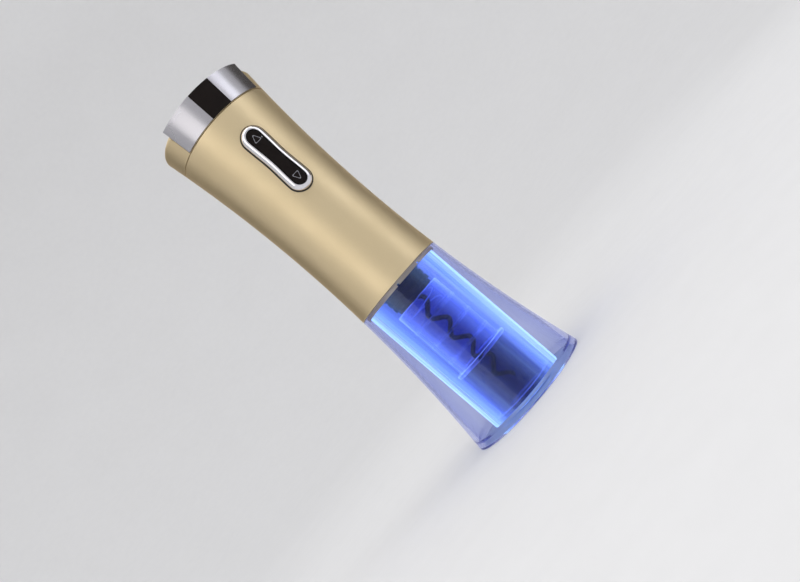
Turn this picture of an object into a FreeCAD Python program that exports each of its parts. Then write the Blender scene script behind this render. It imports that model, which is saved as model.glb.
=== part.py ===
"""Electric wine opener: a champagne body over a clear flared bell with a lit tube and a worm inside.

The origin is the centre of the mouth that stands on the table, +Z runs up to the battery cap, and
-Y is the front, with the rocker button. All lengths are in millimetres.
"""
import FreeCAD, Part
import Sketcher
import math
import os

Vector = FreeCAD.Vector
Rotation = FreeCAD.Rotation
Placement = FreeCAD.Placement

OUTPUT = "parts"
UP = Vector(0, 0, 1)

PLANETS = 3
LAMPS = 6
PRESSURE_ANGLE = 20
FLANK_STEPS = 3  # pieces in each side of a gear tooth
ADDENDUM = 0.85  # height of a tooth above and below its pitch circle, over the module
DEDENDUM = 1.15
CORNER_EASE = 1.05  # radius of a rounded corner over its run, as its two sides aren't quite square

SIZES = {
    "Outside form": {
        "waist_radius": 26.6, "waist_height": 130, "flank_radius": 775,
        "body_bottom": 88.1, "body_length": 119.2, "seam_gap": 0.15, "shell_wall": 2,
    },
    "Clear bell": {
        "bell_wall": 2.2, "rim_wall": 3.2, "rim_height": 3, "rim_round": 0.8, "rim_bevel": 0.6,
    },
    "Lit tube and neck guide": {
        "tube_drop": 1.2, "tube_foot": 0.8, "tube_inset": 2.6, "tube_draft": 0.3, "tube_wall": 3,
        "neck_bore": 14.9, "neck_wall": 1.5, "neck_lead": 1, "neck_seat": 31.3, "floor_thickness": 2.2,
        "cork_bore": 12.6, "cork_wall": 1.8, "cork_gap": 0.2, "cork_flange": 17.4,
        "cork_flange_thickness": 2,
    },
    "Clearances": {
        "slip": 0.1, "running": 0.05, "loose": 0.3,
    },
    "Collar and lamps": {
        "collar_inset": 1.3, "collar_wall": 1.2, "collar_drop": 2.2, "collar_rise": 4.1,
        "notch_width": 1.4, "notch_depth": 1, "notch_angle": 17,
        "lamp_board_rise": 0.6, "lamp_board_thickness": 1.2, "lamp_orbit": 22.4,
        "lamp_side": 2.4, "lamp_drop": 1.5, "lead_radius": 0.5, "lead_back": 1, "lead_spread": 1,
        "lead_slot_half": 2.2, "lead_slot_depth": 6,
    },
    "Spindle": {
        "cup_radius": 12.7, "cup_drop": 12.7, "cup_bore": 10.4, "cup_depth": 8, "cup_lip": 1,
        "bush_radius": 9, "spindle_radius": 6.5, "flange_rise": 1.9, "flange_thickness": 2,
        "worm_collar": 4.4, "spindle_drop": 7.6,
    },
    "Worm": {
        "worm_orbit": 3.05, "wire_radius": 1.3, "worm_pitch": 14.6, "worm_bottom": 13,
        "worm_root": 0.6, "worm_point": 3.6, "point_shoulder": 0.04, "point_sink": 0.25,
        "worm_collar_drop": 0.8,
    },
    "Gears": {
        "gear_module": 0.6, "sun_teeth": 12, "planet_teeth": 24, "ring_teeth": 60, "face_width": 5.2,
        "carrier_radius": 16.6, "output_disc": 2, "middle_disc": 1.8, "pin_radius": 1.45,
        "backlash": 0.12, "gearbox_gap": 1,
    },
    "Motor": {
        "motor_radius": 13.85, "motor_length": 33.7, "shaft_radius": 1.15, "shaft_tail": 2,
        "plate_thickness": 2, "plate_hole": 3.2, "end_cap_radius": 13.6, "end_cap_height": 3.5,
        "end_cap_skin": 0.5, "cradle_wall": 2, "cradle_gap": 0.4, "cradle_notch": 4,
        "rib_thickness": 2, "screw_radius": 1, "screw_head": 1.9, "screw_head_height": 1.6,
        "screw_bite": 3, "screw_orbit": 21.2, "motor_screw_orbit": 8, "terminal_spread": 3,
        "terminal_back": 9.5, "tab_width": 1, "tab_length": 2, "tab_height": 1.5,
    },
    "Cells": {
        "cell_radius": 7.25, "cell_length": 50.5, "nub_radius": 2.6, "nub_height": 1,
        "cell_offset": 7.9, "holder_gap": 0.6, "holder_height": 49.6, "holder_floor": 1.6,
        "holder_front": 17, "spring_height": 2.4, "spring_wire": 0.4, "spring_orbit": 2.8,
        "plate_length": 24, "plate_width": 8, "plate_sheet": 0.5,
    },
    "Button": {
        "button_drop": 35.1, "button_span": 14.7, "bezel_half": 6.5, "bezel_opening": 4.2,
        "bezel_run": 40, "bezel_proud": 2.6, "bezel_depth": 3.4, "bezel_slope": 45, "crown_stop": 1,
        "gasket_width": 0.45, "gasket_depth": 2.2, "gasket_proud": 0.25,
        "rocker_proud": 2.3, "rocker_depth": 1.2, "rocker_lap": 0.8, "pivot_inset": 1,
        "rocker_pin": 0.8, "pin_reach": 5.6, "lug_half": 2.8, "lug_height": 4, "lug_wall": 0.5,
        "rib_half": 1.2, "rib_height": 3, "switch_offset": 11, "switch_gap": 0.75,
        "board_inset": 6.3, "board_thickness": 1.2, "board_half": 6, "board_rise": 56.9,
        "board_above": 23.8, "switch_side": 6, "switch_height": 2.3, "plunger_radius": 1.5,
        "plunger_height": 0.4, "plug_half": 4, "plug_depth": 3.9, "plug_height": 4.5,
    },
    "Cap": {
        "cap_height": 14.5, "cap_round": 3, "well_outset": 0.8, "well_rise": 0.3,
        "cap_floor_thickness": 2.1, "skirt_outset": 1, "skirt_wall": 1.6, "skirt_depth": 4,
        "post_radius": 12.5, "post_height": 11.9, "post_gap": 2, "window_angle": 53.2,
    },
    "Foil cutter": {
        "cutter_gap": 0.15, "cutter_height": 16.25, "cutter_proud": 0.5, "cutter_wall": 3.2,
        "arm_angle": 52, "bridge_angle": 11.7, "bridge_gap": 0.3, "bridge_depth": 5.9, "skin_lap": 1,
        "jaw_gap": 4.8, "jaw_thickness": 7, "jaw_rise": 1.4, "jaw_height": 10, "jaw_end": 150,
        "web_rise": 1.6, "web_height": 3.8, "web_gap": 0.3, "web_end": 42, "web_from": 2,
        "web_lap": 2, "web_reach": 1.5, "slot_reach": 0.9,
        "pivot_side": 4.2, "pivot_back": 1.9, "eye_radius": 2.2, "pivot_pin": 1, "pivot_floor": 1,
        "pivot_roof": 3, "link_length": 4, "link_half": 1.6,
        "wheel_radius": 4.2, "wheel_thickness": 0.9, "wheel_rise": 5.2, "wheel_inset": 3,
        "wheel_bevel": 0.9, "wheel_edge": 0.2, "wheel_pin": 0.9, "wheel_pin_floor": 2,
        "wheel_pin_roof": 1, "front_wheel": 58, "rear_wheel": 122,
    },
}

doc = FreeCAD.newDocument("wine_opener")
sheet = doc.addObject("Spreadsheet::Sheet", "Sizes")
pieces = []


class Size:
    """A length with the sheet expression that gives it, so that sums of sizes stay bound."""

    def __init__(self, value, text):
        self.value = value
        self.text = text

    def join(self, other, sign, value):
        return Size(value, "(" + self.text + " " + sign + " " + other.text + ")")

    def __add__(self, other):
        other = size(other)
        return self.join(other, "+", self.value + other.value)

    def __sub__(self, other):
        other = size(other)
        return self.join(other, "-", self.value - other.value)

    def __mul__(self, other):
        other = size(other)
        return self.join(other, "*", self.value * other.value)

    def __truediv__(self, other):
        other = size(other)
        return self.join(other, "/", self.value / other.value)

    def __neg__(self):
        return Size(-self.value, "(0 - " + self.text + ")")

    def __radd__(self, other):
        return size(other) + self

    def __rsub__(self, other):
        return size(other) - self

    def __rmul__(self, other):
        return size(other) * self


def size(number):
    """Give a plain number as a Size, and a Size as itself."""
    if isinstance(number, Size):
        return number
    return Size(float(number), str(number))


def root(length):
    return Size(math.sqrt(length.value), "sqrt(" + length.text + ")")


def sine(degrees):
    degrees = size(degrees)
    return Size(math.sin(math.radians(degrees.value)), "sin(" + degrees.text + " * 1 deg)")


def cosine(degrees):
    degrees = size(degrees)
    return Size(math.cos(math.radians(degrees.value)), "cos(" + degrees.text + " * 1 deg)")


def fill_sheet():
    """Write every driving size into the sheet, and return them by name."""
    named = {}
    row = 1
    for group, sizes in SIZES.items():
        sheet.set("A%d" % row, group)
        row += 1
        for alias, value in sizes.items():
            sheet.set("A%d" % row, alias)
            sheet.set("B%d" % row, str(value))
            sheet.setAlias("B%d" % row, alias)
            named[alias] = Size(float(value), "Sizes." + alias)
            row += 1
    doc.recompute()
    return named


class Sizes:
    """The sheet's sizes as attributes, with the heights and radii that follow from them."""

    def __init__(self, named):
        self.__dict__.update(named)
        self.body_top = self.body_bottom + self.body_length
        self.follow_waist()
        self.follow_body_bottom()
        self.follow_body_top()

    def follow_waist(self):
        """Radii of what stands inside the waisted outside."""
        inside = self.waist_radius - self.shell_wall
        self.tube_radius = self.waist_radius - self.tube_inset
        self.collar_radius = self.waist_radius - self.collar_inset
        self.gearbox_radius = inside - self.gearbox_gap
        self.holder_radius = inside - self.holder_gap
        self.cradle_reach = inside - self.cradle_gap
        self.pivot_depth = self.waist_radius - self.pivot_inset
        self.board_face = self.waist_radius - self.board_inset
        self.lead_orbit = self.board_face + self.plug_depth - self.lead_back
        self.skirt_radius = self.waist_radius + self.skirt_outset
        self.cap_well = self.waist_radius + self.well_outset
        self.beyond = self.cap_well * 2
        self.bridge_inner = self.cap_well - self.bridge_depth
        self.pivot_front = self.cap_well - self.pivot_back
        self.jaw_outer = self.cap_well - self.jaw_gap
        self.jaw_inner = self.jaw_outer - self.jaw_thickness
        self.wheel_orbit = self.jaw_inner + self.wheel_inset

    def follow_body_bottom(self):
        """Heights of what hangs from the lower end of the body, and of the drive that stands on it."""
        self.tube_top = self.body_bottom - self.tube_drop
        self.cup_bottom = self.body_bottom - self.cup_drop
        self.cork_top = self.cup_bottom - self.cork_gap
        self.lamp_board_bottom = self.body_bottom + self.lamp_board_rise
        self.board_bottom = self.body_bottom + self.board_rise
        self.flange_bottom = self.body_bottom + self.flange_rise
        self.socket_top = self.flange_bottom + self.flange_thickness
        self.spindle_foot = self.flange_bottom - self.spindle_drop
        self.worm_length = self.spindle_foot + self.worm_root - self.worm_bottom

    def follow_body_top(self):
        """Heights of the button, the cap and the foil cutter."""
        self.button_height = self.body_top - self.button_drop
        self.board_top = self.button_height + self.board_above
        self.cap_top = self.body_top + self.cap_height
        self.cap_floor = self.body_top + self.well_rise
        self.post_top = self.cap_floor + self.post_height
        self.cutter_bottom = self.cap_floor + self.cutter_gap
        self.cutter_top = self.cutter_bottom + self.cutter_height
        self.jaw_bottom = self.cap_floor + self.jaw_rise
        self.web_bottom = self.jaw_bottom + self.web_rise
        self.wheel_height = self.jaw_bottom + self.wheel_rise


s = Sizes(fill_sheet())


def flank(height, outward=0):
    """Radius of the waisted outside at a height, moved outward by a distance along the radius."""
    rise = size(height) - s.waist_height
    return s.waist_radius + s.flank_radius - root(s.flank_radius * s.flank_radius - rise * rise) + outward


# ---------------------------------------------------------------- drawing and features

def bind(thing, path, amount):
    """Set one property of an object from a size, by expression."""
    thing.setExpression(path, size(amount).text)


def keep(thing, label):
    """Name a finished piece and put it on the list of files to write."""
    thing.Label = label
    pieces.append(thing)
    return thing


def origin_plane(body, role):
    return [feature for feature in body.Origin.OriginFeatures if feature.Role == role][0]


def new_sketch(body, name, role="XZ_Plane"):
    sketch = body.newObject("Sketcher::SketchObject", name)
    sketch.AttachmentSupport = (origin_plane(body, role), [""])
    sketch.MapMode = "FlatFace"
    return sketch


def hold(sketch, kind, spot, amount):
    """Constrain one distance or radius of a sketch and bind it to a size."""
    index = sketch.addConstraint(Sketcher.Constraint(kind, *spot, amount.value))
    sketch.setExpression("Constraints[%d]" % index, amount.text)


def arc_through(start, end, radius):
    """Arc between two points; a positive radius keeps its centre on the left of the way."""
    chord = end - start
    left = Vector(-chord.y, chord.x, 0).normalize()
    half = chord.Length / 2
    depth = math.copysign(math.sqrt(max(radius * radius - half * half, 0)), radius)
    centre = (start + end) / 2 + left * depth
    first, last = (start, end) if radius > 0 else (end, start)
    begin = math.atan2(first.y - centre.y, first.x - centre.x)
    finish = math.atan2(last.y - centre.y, last.x - centre.x)
    if finish < begin:
        finish += 2 * math.pi
    return Part.ArcOfCircle(Part.Circle(centre, UP, abs(radius)), begin, finish)


def draw(sketch, corners):
    """Draw a closed outline; a corner's third value is the radius of the arc that leads to it."""
    spots = [Vector(size(corner[0]).value, size(corner[1]).value, 0) for corner in corners]
    count = len(corners)
    starts = []
    ends = []
    for number in range(count):
        following = (number + 1) % count
        start = spots[number]
        end = spots[following]
        if len(corners[following]) > 2:
            radius = corners[following][2]
            edge = sketch.addGeometry(arc_through(start, end, radius.value), False)
            clockwise = radius.value < 0
            starts.append((edge, 2 if clockwise else 1))
            ends.append((edge, 1 if clockwise else 2))
            reach = radius if radius.value > 0 else -radius
            hold(sketch, "Radius", (edge,), reach)
        else:
            edge = sketch.addGeometry(Part.LineSegment(start, end), False)
            starts.append((edge, 1))
            ends.append((edge, 2))
    for number in range(count):
        following = (number + 1) % count
        sketch.addConstraint(Sketcher.Constraint("Coincident", *ends[number], *starts[following]))
        for kind, axis, amount in (("DistanceX", -2, size(corners[number][0])),
                                   ("DistanceY", -1, size(corners[number][1]))):
            if amount.value == 0:
                sketch.addConstraint(Sketcher.Constraint("PointOnObject", *starts[number], axis))
            else:
                hold(sketch, kind, (-1, 1) + starts[number], amount)


def turned(label, corners):
    """A body turned round the Z axis from an outline of (radius, height) corners."""
    body = doc.addObject("PartDesign::Body", label)
    sketch = new_sketch(body, label + "_outline")
    draw(sketch, corners)
    turn = body.newObject("PartDesign::Revolution", label + "_turn")
    turn.Profile = (sketch, [""])
    turn.ReferenceAxis = (sketch, ["V_Axis"])
    turn.Angle = 360
    body.Tip = turn
    return body


def band(label, bottom, top, inward, outward):
    """A turned ring that follows the waisted outside between two heights."""
    inward = size(inward)
    outward = size(outward)
    return turned(label, [
        (flank(bottom, -inward), bottom, s.flank_radius + inward),
        (flank(bottom, outward), bottom),
        (flank(top, outward), top, outward - s.flank_radius),
        (flank(top, -inward), top),
    ])


def slot_prism(label, half_width, slope=None):
    """A round-ended bar that runs from the axis out through the front, over the button."""
    body = doc.addObject("PartDesign::Body", label)
    sketch = new_sketch(body, label + "_outline")
    half_width = size(half_width)
    low = s.button_height - s.button_span
    high = s.button_height + s.button_span
    reach = half_width.value
    upper = sketch.addGeometry(Part.ArcOfCircle(
        Part.Circle(Vector(0, high.value, 0), UP, reach), 0, math.pi), False)
    lower = sketch.addGeometry(Part.ArcOfCircle(
        Part.Circle(Vector(0, low.value, 0), UP, reach), math.pi, 2 * math.pi), False)
    left = sketch.addGeometry(Part.LineSegment(
        Vector(-reach, high.value, 0), Vector(-reach, low.value, 0)), False)
    right = sketch.addGeometry(Part.LineSegment(
        Vector(reach, low.value, 0), Vector(reach, high.value, 0)), False)
    for place in ((upper, 2, left, 1), (left, 2, lower, 1), (lower, 2, right, 1), (right, 2, upper, 1)):
        sketch.addConstraint(Sketcher.Constraint("Coincident", *place))
    for arc, height in ((upper, high), (lower, low)):
        sketch.addConstraint(Sketcher.Constraint("PointOnObject", arc, 3, -2))
        hold(sketch, "DistanceY", (-1, 1, arc, 3), height)
        sketch.addConstraint(Sketcher.Constraint("Horizontal", arc, 3, arc, 1))
    hold(sketch, "Radius", (upper,), half_width)
    sketch.addConstraint(Sketcher.Constraint("Vertical", left))
    sketch.addConstraint(Sketcher.Constraint("Horizontal", upper, 3, upper, 2))
    sketch.addConstraint(Sketcher.Constraint("Horizontal", lower, 3, lower, 2))
    pad = body.newObject("PartDesign::Pad", label + "_pad")
    pad.Profile = (sketch, [""])
    if slope is None:
        bind(pad, "Length", s.bezel_run)
    else:
        bind(pad, "Length", half_width - s.crown_stop)
        bind(pad, "TaperAngle", -slope)
    body.Tip = pad
    return body


def place(thing, x=0, y=0, z=0, axis=UP, angle=0):
    """Bind an object's place, and its turn about one axis in degrees."""
    thing.Placement = Placement(Vector(0, 0, 0), Rotation(axis, size(angle).value))
    for name, amount in (("x", x), ("y", y), ("z", z)):
        bind(thing, "Placement.Base." + name, amount)
    if isinstance(angle, Size):
        bind(thing, "Placement.Rotation.Angle", angle)
    return thing


def cylinder(label, radius, bottom, height, x=0, y=0, start=None, sweep=None):
    """An upright cylinder, or a wedge of one that starts at an angle from the front."""
    thing = doc.addObject("Part::Cylinder", label)
    bind(thing, "Radius", radius)
    bind(thing, "Height", height)
    if sweep is not None:
        bind(thing, "Angle", sweep)
        return place(thing, x, y, bottom, UP, size(start) - 90)
    return place(thing, x, y, bottom)


def cross_cylinder(label, radius, length, axis, x, y, z):
    """A cylinder along X, or along -Y for axis "y", that starts at a point."""
    thing = doc.addObject("Part::Cylinder", label)
    bind(thing, "Radius", radius)
    bind(thing, "Height", length)
    return place(thing, x, y, z, Vector(0, 1, 0) if axis == "x" else Vector(1, 0, 0), 90)


def box(label, x, y, z, length, width, height):
    """A box from its low corner."""
    thing = doc.addObject("Part::Box", label)
    bind(thing, "Length", length)
    bind(thing, "Width", width)
    bind(thing, "Height", height)
    return place(thing, x, y, z)


def centred_box(label, x, y, z, length, width, height):
    """An upright box whose middle in X and Y is given, and whose bottom is z."""
    return box(label, x - size(length) / 2, y - size(width) / 2, z, length, width, height)


def cut(label, base, *tools):
    """Take tools away from a piece, one after another."""
    for number, tool in enumerate(tools):
        result = doc.addObject("Part::Cut", "%s_cut_%d" % (label, number + 1))
        result.Base = base
        result.Tool = tool
        base = result
    return base


def fuse(label, *parts):
    result = doc.addObject("Part::MultiFuse", label + "_joined")
    result.Shapes = list(parts)
    result.Refine = True
    return result


def common(label, base, tool):
    result = doc.addObject("Part::Common", label + "_shared")
    result.Base = base
    result.Tool = tool
    return result


def group(label, parts):
    """Separate solids that share one node, such as a set of screws."""
    result = doc.addObject("Part::Compound", label + "_set")
    result.Links = list(parts)
    return keep(result, label)


def wedge_ring(label, inner, outer, bottom, height, start, sweep):
    """A sector of a ring between two radii."""
    return cut(label,
               cylinder(label + "_outer", outer, bottom, height, start=start, sweep=sweep),
               cylinder(label + "_inner", inner, bottom, height))


# ---------------------------------------------------------------- casing

def make_body_shell():
    top = s.body_top
    shell = band("shell", s.body_bottom, top, s.shell_wall, 0)
    window = slot_prism("shell_window", s.bezel_half + s.gasket_width + s.slip)
    keep(cut("body_shell", shell, window), "body_shell")


def make_collar_ring():
    bottom = s.body_bottom - s.collar_drop
    outer = s.collar_radius
    inner = outer - s.collar_wall
    top = s.body_bottom + s.collar_rise
    ring = turned("collar", [(inner, bottom), (outer, bottom), (outer, top), (inner, top)])
    notches = []
    for side in (-1, 1):
        notches.append(centred_box("collar_notch", outer * sine(s.notch_angle) * side,
                                   -outer * cosine(s.notch_angle), bottom,
                                   s.notch_width, s.collar_wall * 3, s.notch_depth))
    keep(cut("collar_ring", ring, *notches), "collar_ring")


def make_bell():
    top = s.body_bottom - s.seam_gap
    foot = flank(0)
    rim = foot - s.rim_wall
    wall = s.bell_wall
    keep(turned("clear_bell", [
        (rim, 0),
        (foot - s.rim_round, 0),
        (flank(s.rim_round), s.rim_round, s.rim_round * CORNER_EASE),
        (flank(top), top, -s.flank_radius),
        (flank(top) - wall, top),
        (flank(s.rim_height) - wall, s.rim_height, s.flank_radius + wall),
        (rim, s.rim_height - s.rim_bevel),
    ]), "clear_bell")


def make_inner_tube():
    foot = s.tube_foot
    low = s.tube_radius - s.tube_draft
    curl = s.tube_wall / 2
    keep(turned("light_tube", [
        (low - s.tube_wall, foot + curl),
        (low - curl, foot, curl),
        (low, foot + curl, curl),
        (s.tube_radius, s.tube_top),
        (s.tube_radius - s.tube_wall, s.tube_top),
    ]), "light_tube")


def make_neck_guide():
    bore = s.neck_bore
    wall = s.neck_wall
    foot = s.tube_foot + s.tube_wall / 2
    rim = s.tube_radius - s.tube_draft - s.tube_wall - s.slip
    keep(turned("neck_guide", [
        (bore + s.neck_lead, foot),
        (rim, foot),
        (rim, foot + s.floor_thickness),
        (bore + wall, foot + s.floor_thickness),
        (bore + wall, s.neck_seat),
        (bore, s.neck_seat),
        (bore, foot + s.neck_lead * 2),
    ]), "neck_guide")


def make_cork_tube():
    bore = s.cork_bore
    outer = bore + s.cork_wall
    keep(turned("cork_tube", [
        (bore, s.neck_seat),
        (s.cork_flange, s.neck_seat),
        (s.cork_flange, s.neck_seat + s.cork_flange_thickness),
        (outer, s.neck_seat + s.cork_flange_thickness),
        (outer, s.cork_top),
        (bore, s.cork_top),
    ]), "cork_tube")


# ---------------------------------------------------------------- button

def make_button():
    bottom = s.button_height - s.button_span - s.bezel_half * 2
    top = s.button_height + s.button_span + s.bezel_half * 2
    gasket = common("gasket", band("gasket_band", bottom, top, s.gasket_depth, s.gasket_proud),
                    slot_prism("gasket_outer", s.bezel_half + s.gasket_width))
    keep(cut("button_gasket", gasket, slot_prism("gasket_inner", s.bezel_half)), "button_gasket")

    raised = common("bezel_sides", band("bezel_band", bottom, top, s.bezel_depth, s.bezel_proud),
                    slot_prism("bezel_outer", s.bezel_half - s.slip / 2))
    crown = s.bezel_half + flank(s.button_height)
    sloped = common("bezel_slope", raised, slot_prism("bezel_crown", crown, s.bezel_slope))
    pin = cross_cylinder("bezel_pin_hole", s.rocker_pin, s.pin_reach * 2, "x",
                         -s.pin_reach, -s.pivot_depth, s.button_height)
    keep(cut("button_bezel", sloped, slot_prism("bezel_inner", s.bezel_opening), pin), "button_bezel")

    rocker = common("rocker", band("rocker_band", bottom, top, s.rocker_depth, s.rocker_proud),
                    slot_prism("rocker_outer", s.bezel_opening - s.loose))
    inside = s.board_face + s.switch_height + s.plunger_height
    skin = flank(s.button_height) - s.rocker_depth + s.rocker_lap
    lugs = [box("rocker_lug", -s.lug_half, -skin, s.button_height - s.lug_height / 2, s.lug_half * 2,
                skin - s.pivot_depth + s.rocker_pin + s.lug_wall, s.lug_height)]
    for side in (-1, 1):
        middle = s.button_height + s.switch_offset * side
        rib_skin = flank(middle) - s.rocker_depth + s.rocker_lap
        lugs.append(box("rocker_rib", -s.rib_half, -rib_skin, middle - s.rib_height / 2, s.rib_half * 2,
                        rib_skin - inside - s.switch_gap, s.rib_height))
    bore = cross_cylinder("rocker_bore", s.rocker_pin + s.running, s.pin_reach * 2, "x",
                          -s.pin_reach, -s.pivot_depth, s.button_height)
    keep(cut("rocker_button", fuse("rocker", rocker, *lugs), bore), "rocker_button")
    keep(cross_cylinder("rocker_pin", s.rocker_pin, s.pin_reach * 2, "x",
                        -s.pin_reach, -s.pivot_depth, s.button_height), "rocker_pin")


def make_switch_board():
    board = box("board", -s.board_half, -s.board_face, s.board_bottom, s.board_half * 2,
                s.board_thickness, s.board_top - s.board_bottom)
    plug = box("board_plug", -s.plug_half, -s.board_face - s.plug_depth, s.board_bottom,
               s.plug_half * 2, s.plug_depth, s.plug_height)
    keep(fuse("switch_board", board, plug), "switch_board")
    switches = []
    for side in (-1, 1):
        height = s.button_height + s.switch_offset * side
        case = box("switch_case", -s.switch_side / 2, -s.board_face - s.switch_height,
                   height - s.switch_side / 2, s.switch_side, s.switch_height, s.switch_side)
        plunger = cross_cylinder("switch_plunger", s.plunger_radius, s.plunger_height, "y",
                                 0, -s.board_face - s.switch_height, height)
        switches.append(fuse("switch", case, plunger))
    group("push_switches", switches)


# ---------------------------------------------------------------- cells

def cell_places():
    """Each cell's X and Y, and whether its nub points up."""
    offset = s.cell_offset
    return [(offset, offset, True), (-offset, offset, False),
            (-offset, -offset, True), (offset, -offset, False)]


def holder_bottom():
    """Underside of the cell holder, which puts the cells just under the cap's contacts."""
    stack = s.holder_floor + s.spring_height + s.cell_length
    return s.cap_floor - s.cap_floor_thickness - s.plate_sheet - s.loose * 2 - stack


def make_cells():
    floor = holder_bottom()
    shelf = floor + s.holder_floor
    holder = cylinder("holder", s.holder_radius, floor, s.holder_height)
    bores = []
    cells = []
    pads = []
    springs = []
    bottom = shelf + s.spring_height
    for x, y, upright in cell_places():
        bores.append(cylinder("holder_bore", s.cell_radius + s.loose, shelf, s.holder_height, x, y))
        can = bottom if upright else bottom + s.nub_height
        nub = bottom + s.cell_length - s.nub_height if upright else bottom
        cells.append(fuse("cell",
                          cylinder("cell_can", s.cell_radius, can, s.cell_length - s.nub_height, x, y),
                          cylinder("cell_nub", s.nub_radius, nub, s.nub_height, x, y)))
        if upright:
            springs.append(coil("cell_spring", x, y, shelf))
        else:
            pads.append(cylinder("cell_pad", s.spring_orbit, shelf, s.spring_height, x, y))
    front = box("holder_front", -s.holder_radius, -s.holder_radius, floor,
                s.holder_radius * 2, s.holder_radius - s.holder_front, s.holder_height)
    keep(cut("cell_holder", holder, front, *bores), "cell_holder")
    group("battery_cells", cells)
    group("contact_springs", springs)
    group("contact_pads", pads)


def coil(label, x, y, bottom):
    """A small upright spring that fills the gap under a cell."""
    helix = doc.addObject("Part::Helix", label + "_path")
    rise = s.spring_height - s.spring_wire * 2
    bind(helix, "Radius", s.spring_orbit)
    bind(helix, "Height", rise)
    bind(helix, "Pitch", rise / 2)
    place(helix, x, y, bottom + s.spring_wire)
    wire = doc.addObject("Part::Circle", label + "_wire")
    bind(wire, "Radius", s.spring_wire)
    place(wire, x + s.spring_orbit, y, bottom + s.spring_wire, Vector(1, 0, 0), 90)
    spring = doc.addObject("Part::Sweep", label)
    spring.Sections = [wire]
    spring.Spine = (helix, [])
    spring.Solid = True
    spring.Frenet = True
    return spring


# ---------------------------------------------------------------- motor and gearbox

def gearbox_floor():
    return s.flange_bottom + s.flange_thickness


def output_face():
    """Top of the output carrier's disc."""
    return gearbox_floor() + s.loose + s.output_disc


def middle_face():
    """Underside of the middle carrier's disc."""
    return output_face() + s.loose + s.face_width + s.loose * 2


def upper_gears():
    """Bottom of the upper planets."""
    return middle_face() + s.middle_disc + s.loose


def plate_bottom():
    return upper_gears() + s.face_width + s.loose * 4


def plate_top():
    return plate_bottom() + s.plate_thickness


def involute_angle(base, radius):
    ratio = base / max(radius, base)
    return math.tan(math.acos(ratio)) - math.acos(ratio)


def gear_wire(teeth, outward, inward, extra, turn):
    """Tooth outline about the Z axis, with extra width at the pitch circle and a turn in radians."""
    pitch = s.gear_module.value * teeth / 2
    base = pitch * math.cos(math.radians(PRESSURE_ANGLE))
    half = math.pi / (2 * teeth) + extra / (2 * pitch)
    points = []
    for tooth in range(teeth):
        middle = 2 * math.pi * tooth / teeth + turn
        flankline = []
        for step in range(FLANK_STEPS + 1):
            radius = pitch - inward + (outward + inward) * step / FLANK_STEPS
            angle = half + involute_angle(base, pitch) - involute_angle(base, radius)
            flankline.append((radius, angle))
        for radius, angle in flankline:
            points.append(Vector(radius * math.cos(middle - angle), radius * math.sin(middle - angle), 0))
        for radius, angle in reversed(flankline):
            points.append(Vector(radius * math.cos(middle + angle), radius * math.sin(middle + angle), 0))
    return Part.makePolygon(points + points[:1])


def gear_bar(wire, bottom, height):
    """A toothed bar from a tooth outline."""
    bar = Part.Face(wire).extrude(Vector(0, 0, height.value))
    bar.translate(Vector(0, 0, bottom.value))
    return bar


def feature(label, shape):
    thing = doc.addObject("Part::Feature", label)
    thing.Shape = shape
    return thing


def teeth_of(kind):
    return int({"sun": s.sun_teeth, "planet": s.planet_teeth, "ring": s.ring_teeth}[kind].value)


def planet_orbit():
    return s.gear_module * (s.sun_teeth + s.planet_teeth) / 2


def outer_gear(kind, bottom, height, turn=0.0):
    module = s.gear_module.value
    return gear_bar(gear_wire(teeth_of(kind), ADDENDUM * module, DEDENDUM * module,
                              -s.backlash.value, turn), bottom, height)


def make_gear_train():
    module = s.gear_module.value
    orbit = planet_orbit()
    ring_height = plate_bottom() - gearbox_floor() - s.slip * 2
    ring_bottom = gearbox_floor() + s.slip
    teeth = gear_bar(gear_wire(teeth_of("ring"), DEDENDUM * module, ADDENDUM * module,
                               s.backlash.value, math.pi / teeth_of("ring")), ring_bottom, ring_height)
    housing = cylinder("gearbox_tube", s.gearbox_radius, ring_bottom, ring_height)
    holes = screw_bars("ring_screw_hole", s.screw_radius + s.running, ring_bottom, ring_height)
    keep(cut("gearbox_ring", housing, feature("ring_teeth_cut", teeth), *holes,
             lead_slot("ring_lead_slot")), "gearbox_ring")

    stages = (("lower", output_face() + s.loose), ("upper", upper_gears()))
    half_tooth = math.pi / teeth_of("planet")
    for stage, bottom in stages:
        for number in range(PLANETS):
            gear = feature(stage + "_planet_teeth",
                           outer_gear("planet", bottom, s.face_width, half_tooth))
            bore = cylinder(stage + "_planet_bore", s.pin_radius + s.running, bottom, s.face_width)
            planet = cut(stage + "_planet", gear, bore)
            turn = 360 / PLANETS * number
            place(planet, orbit * cosine(turn), orbit * sine(turn), 0, UP, turn)
            keep(planet, "%s_planet_%d" % (stage, number + 1))

    sun_bottom = output_face() + s.loose * 1.5
    sun = feature("middle_sun", outer_gear("sun", sun_bottom, middle_face() - sun_bottom))
    disc = cylinder("middle_disc", s.carrier_radius, middle_face(), s.middle_disc)
    pins = planet_pins("middle_pin", middle_face() + s.middle_disc)
    keep(fuse("middle_carrier", disc, sun, *pins), "middle_carrier")

    pinion_top = plate_bottom() - s.loose * 2
    pinion_bottom = upper_gears() + s.slip
    pinion = feature("pinion_teeth", outer_gear("sun", pinion_bottom, pinion_top - pinion_bottom))
    keep(cut("motor_pinion", pinion,
             cylinder("pinion_bore", s.shaft_radius, pinion_bottom, pinion_top - pinion_bottom)),
         "motor_pinion")


def planet_pins(label, bottom):
    orbit = planet_orbit()
    height = s.loose + s.face_width + s.loose
    return [cylinder(label, s.pin_radius, bottom, height, orbit * cosine(turn), orbit * sine(turn))
            for turn in (360 / PLANETS * number for number in range(PLANETS))]


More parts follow.
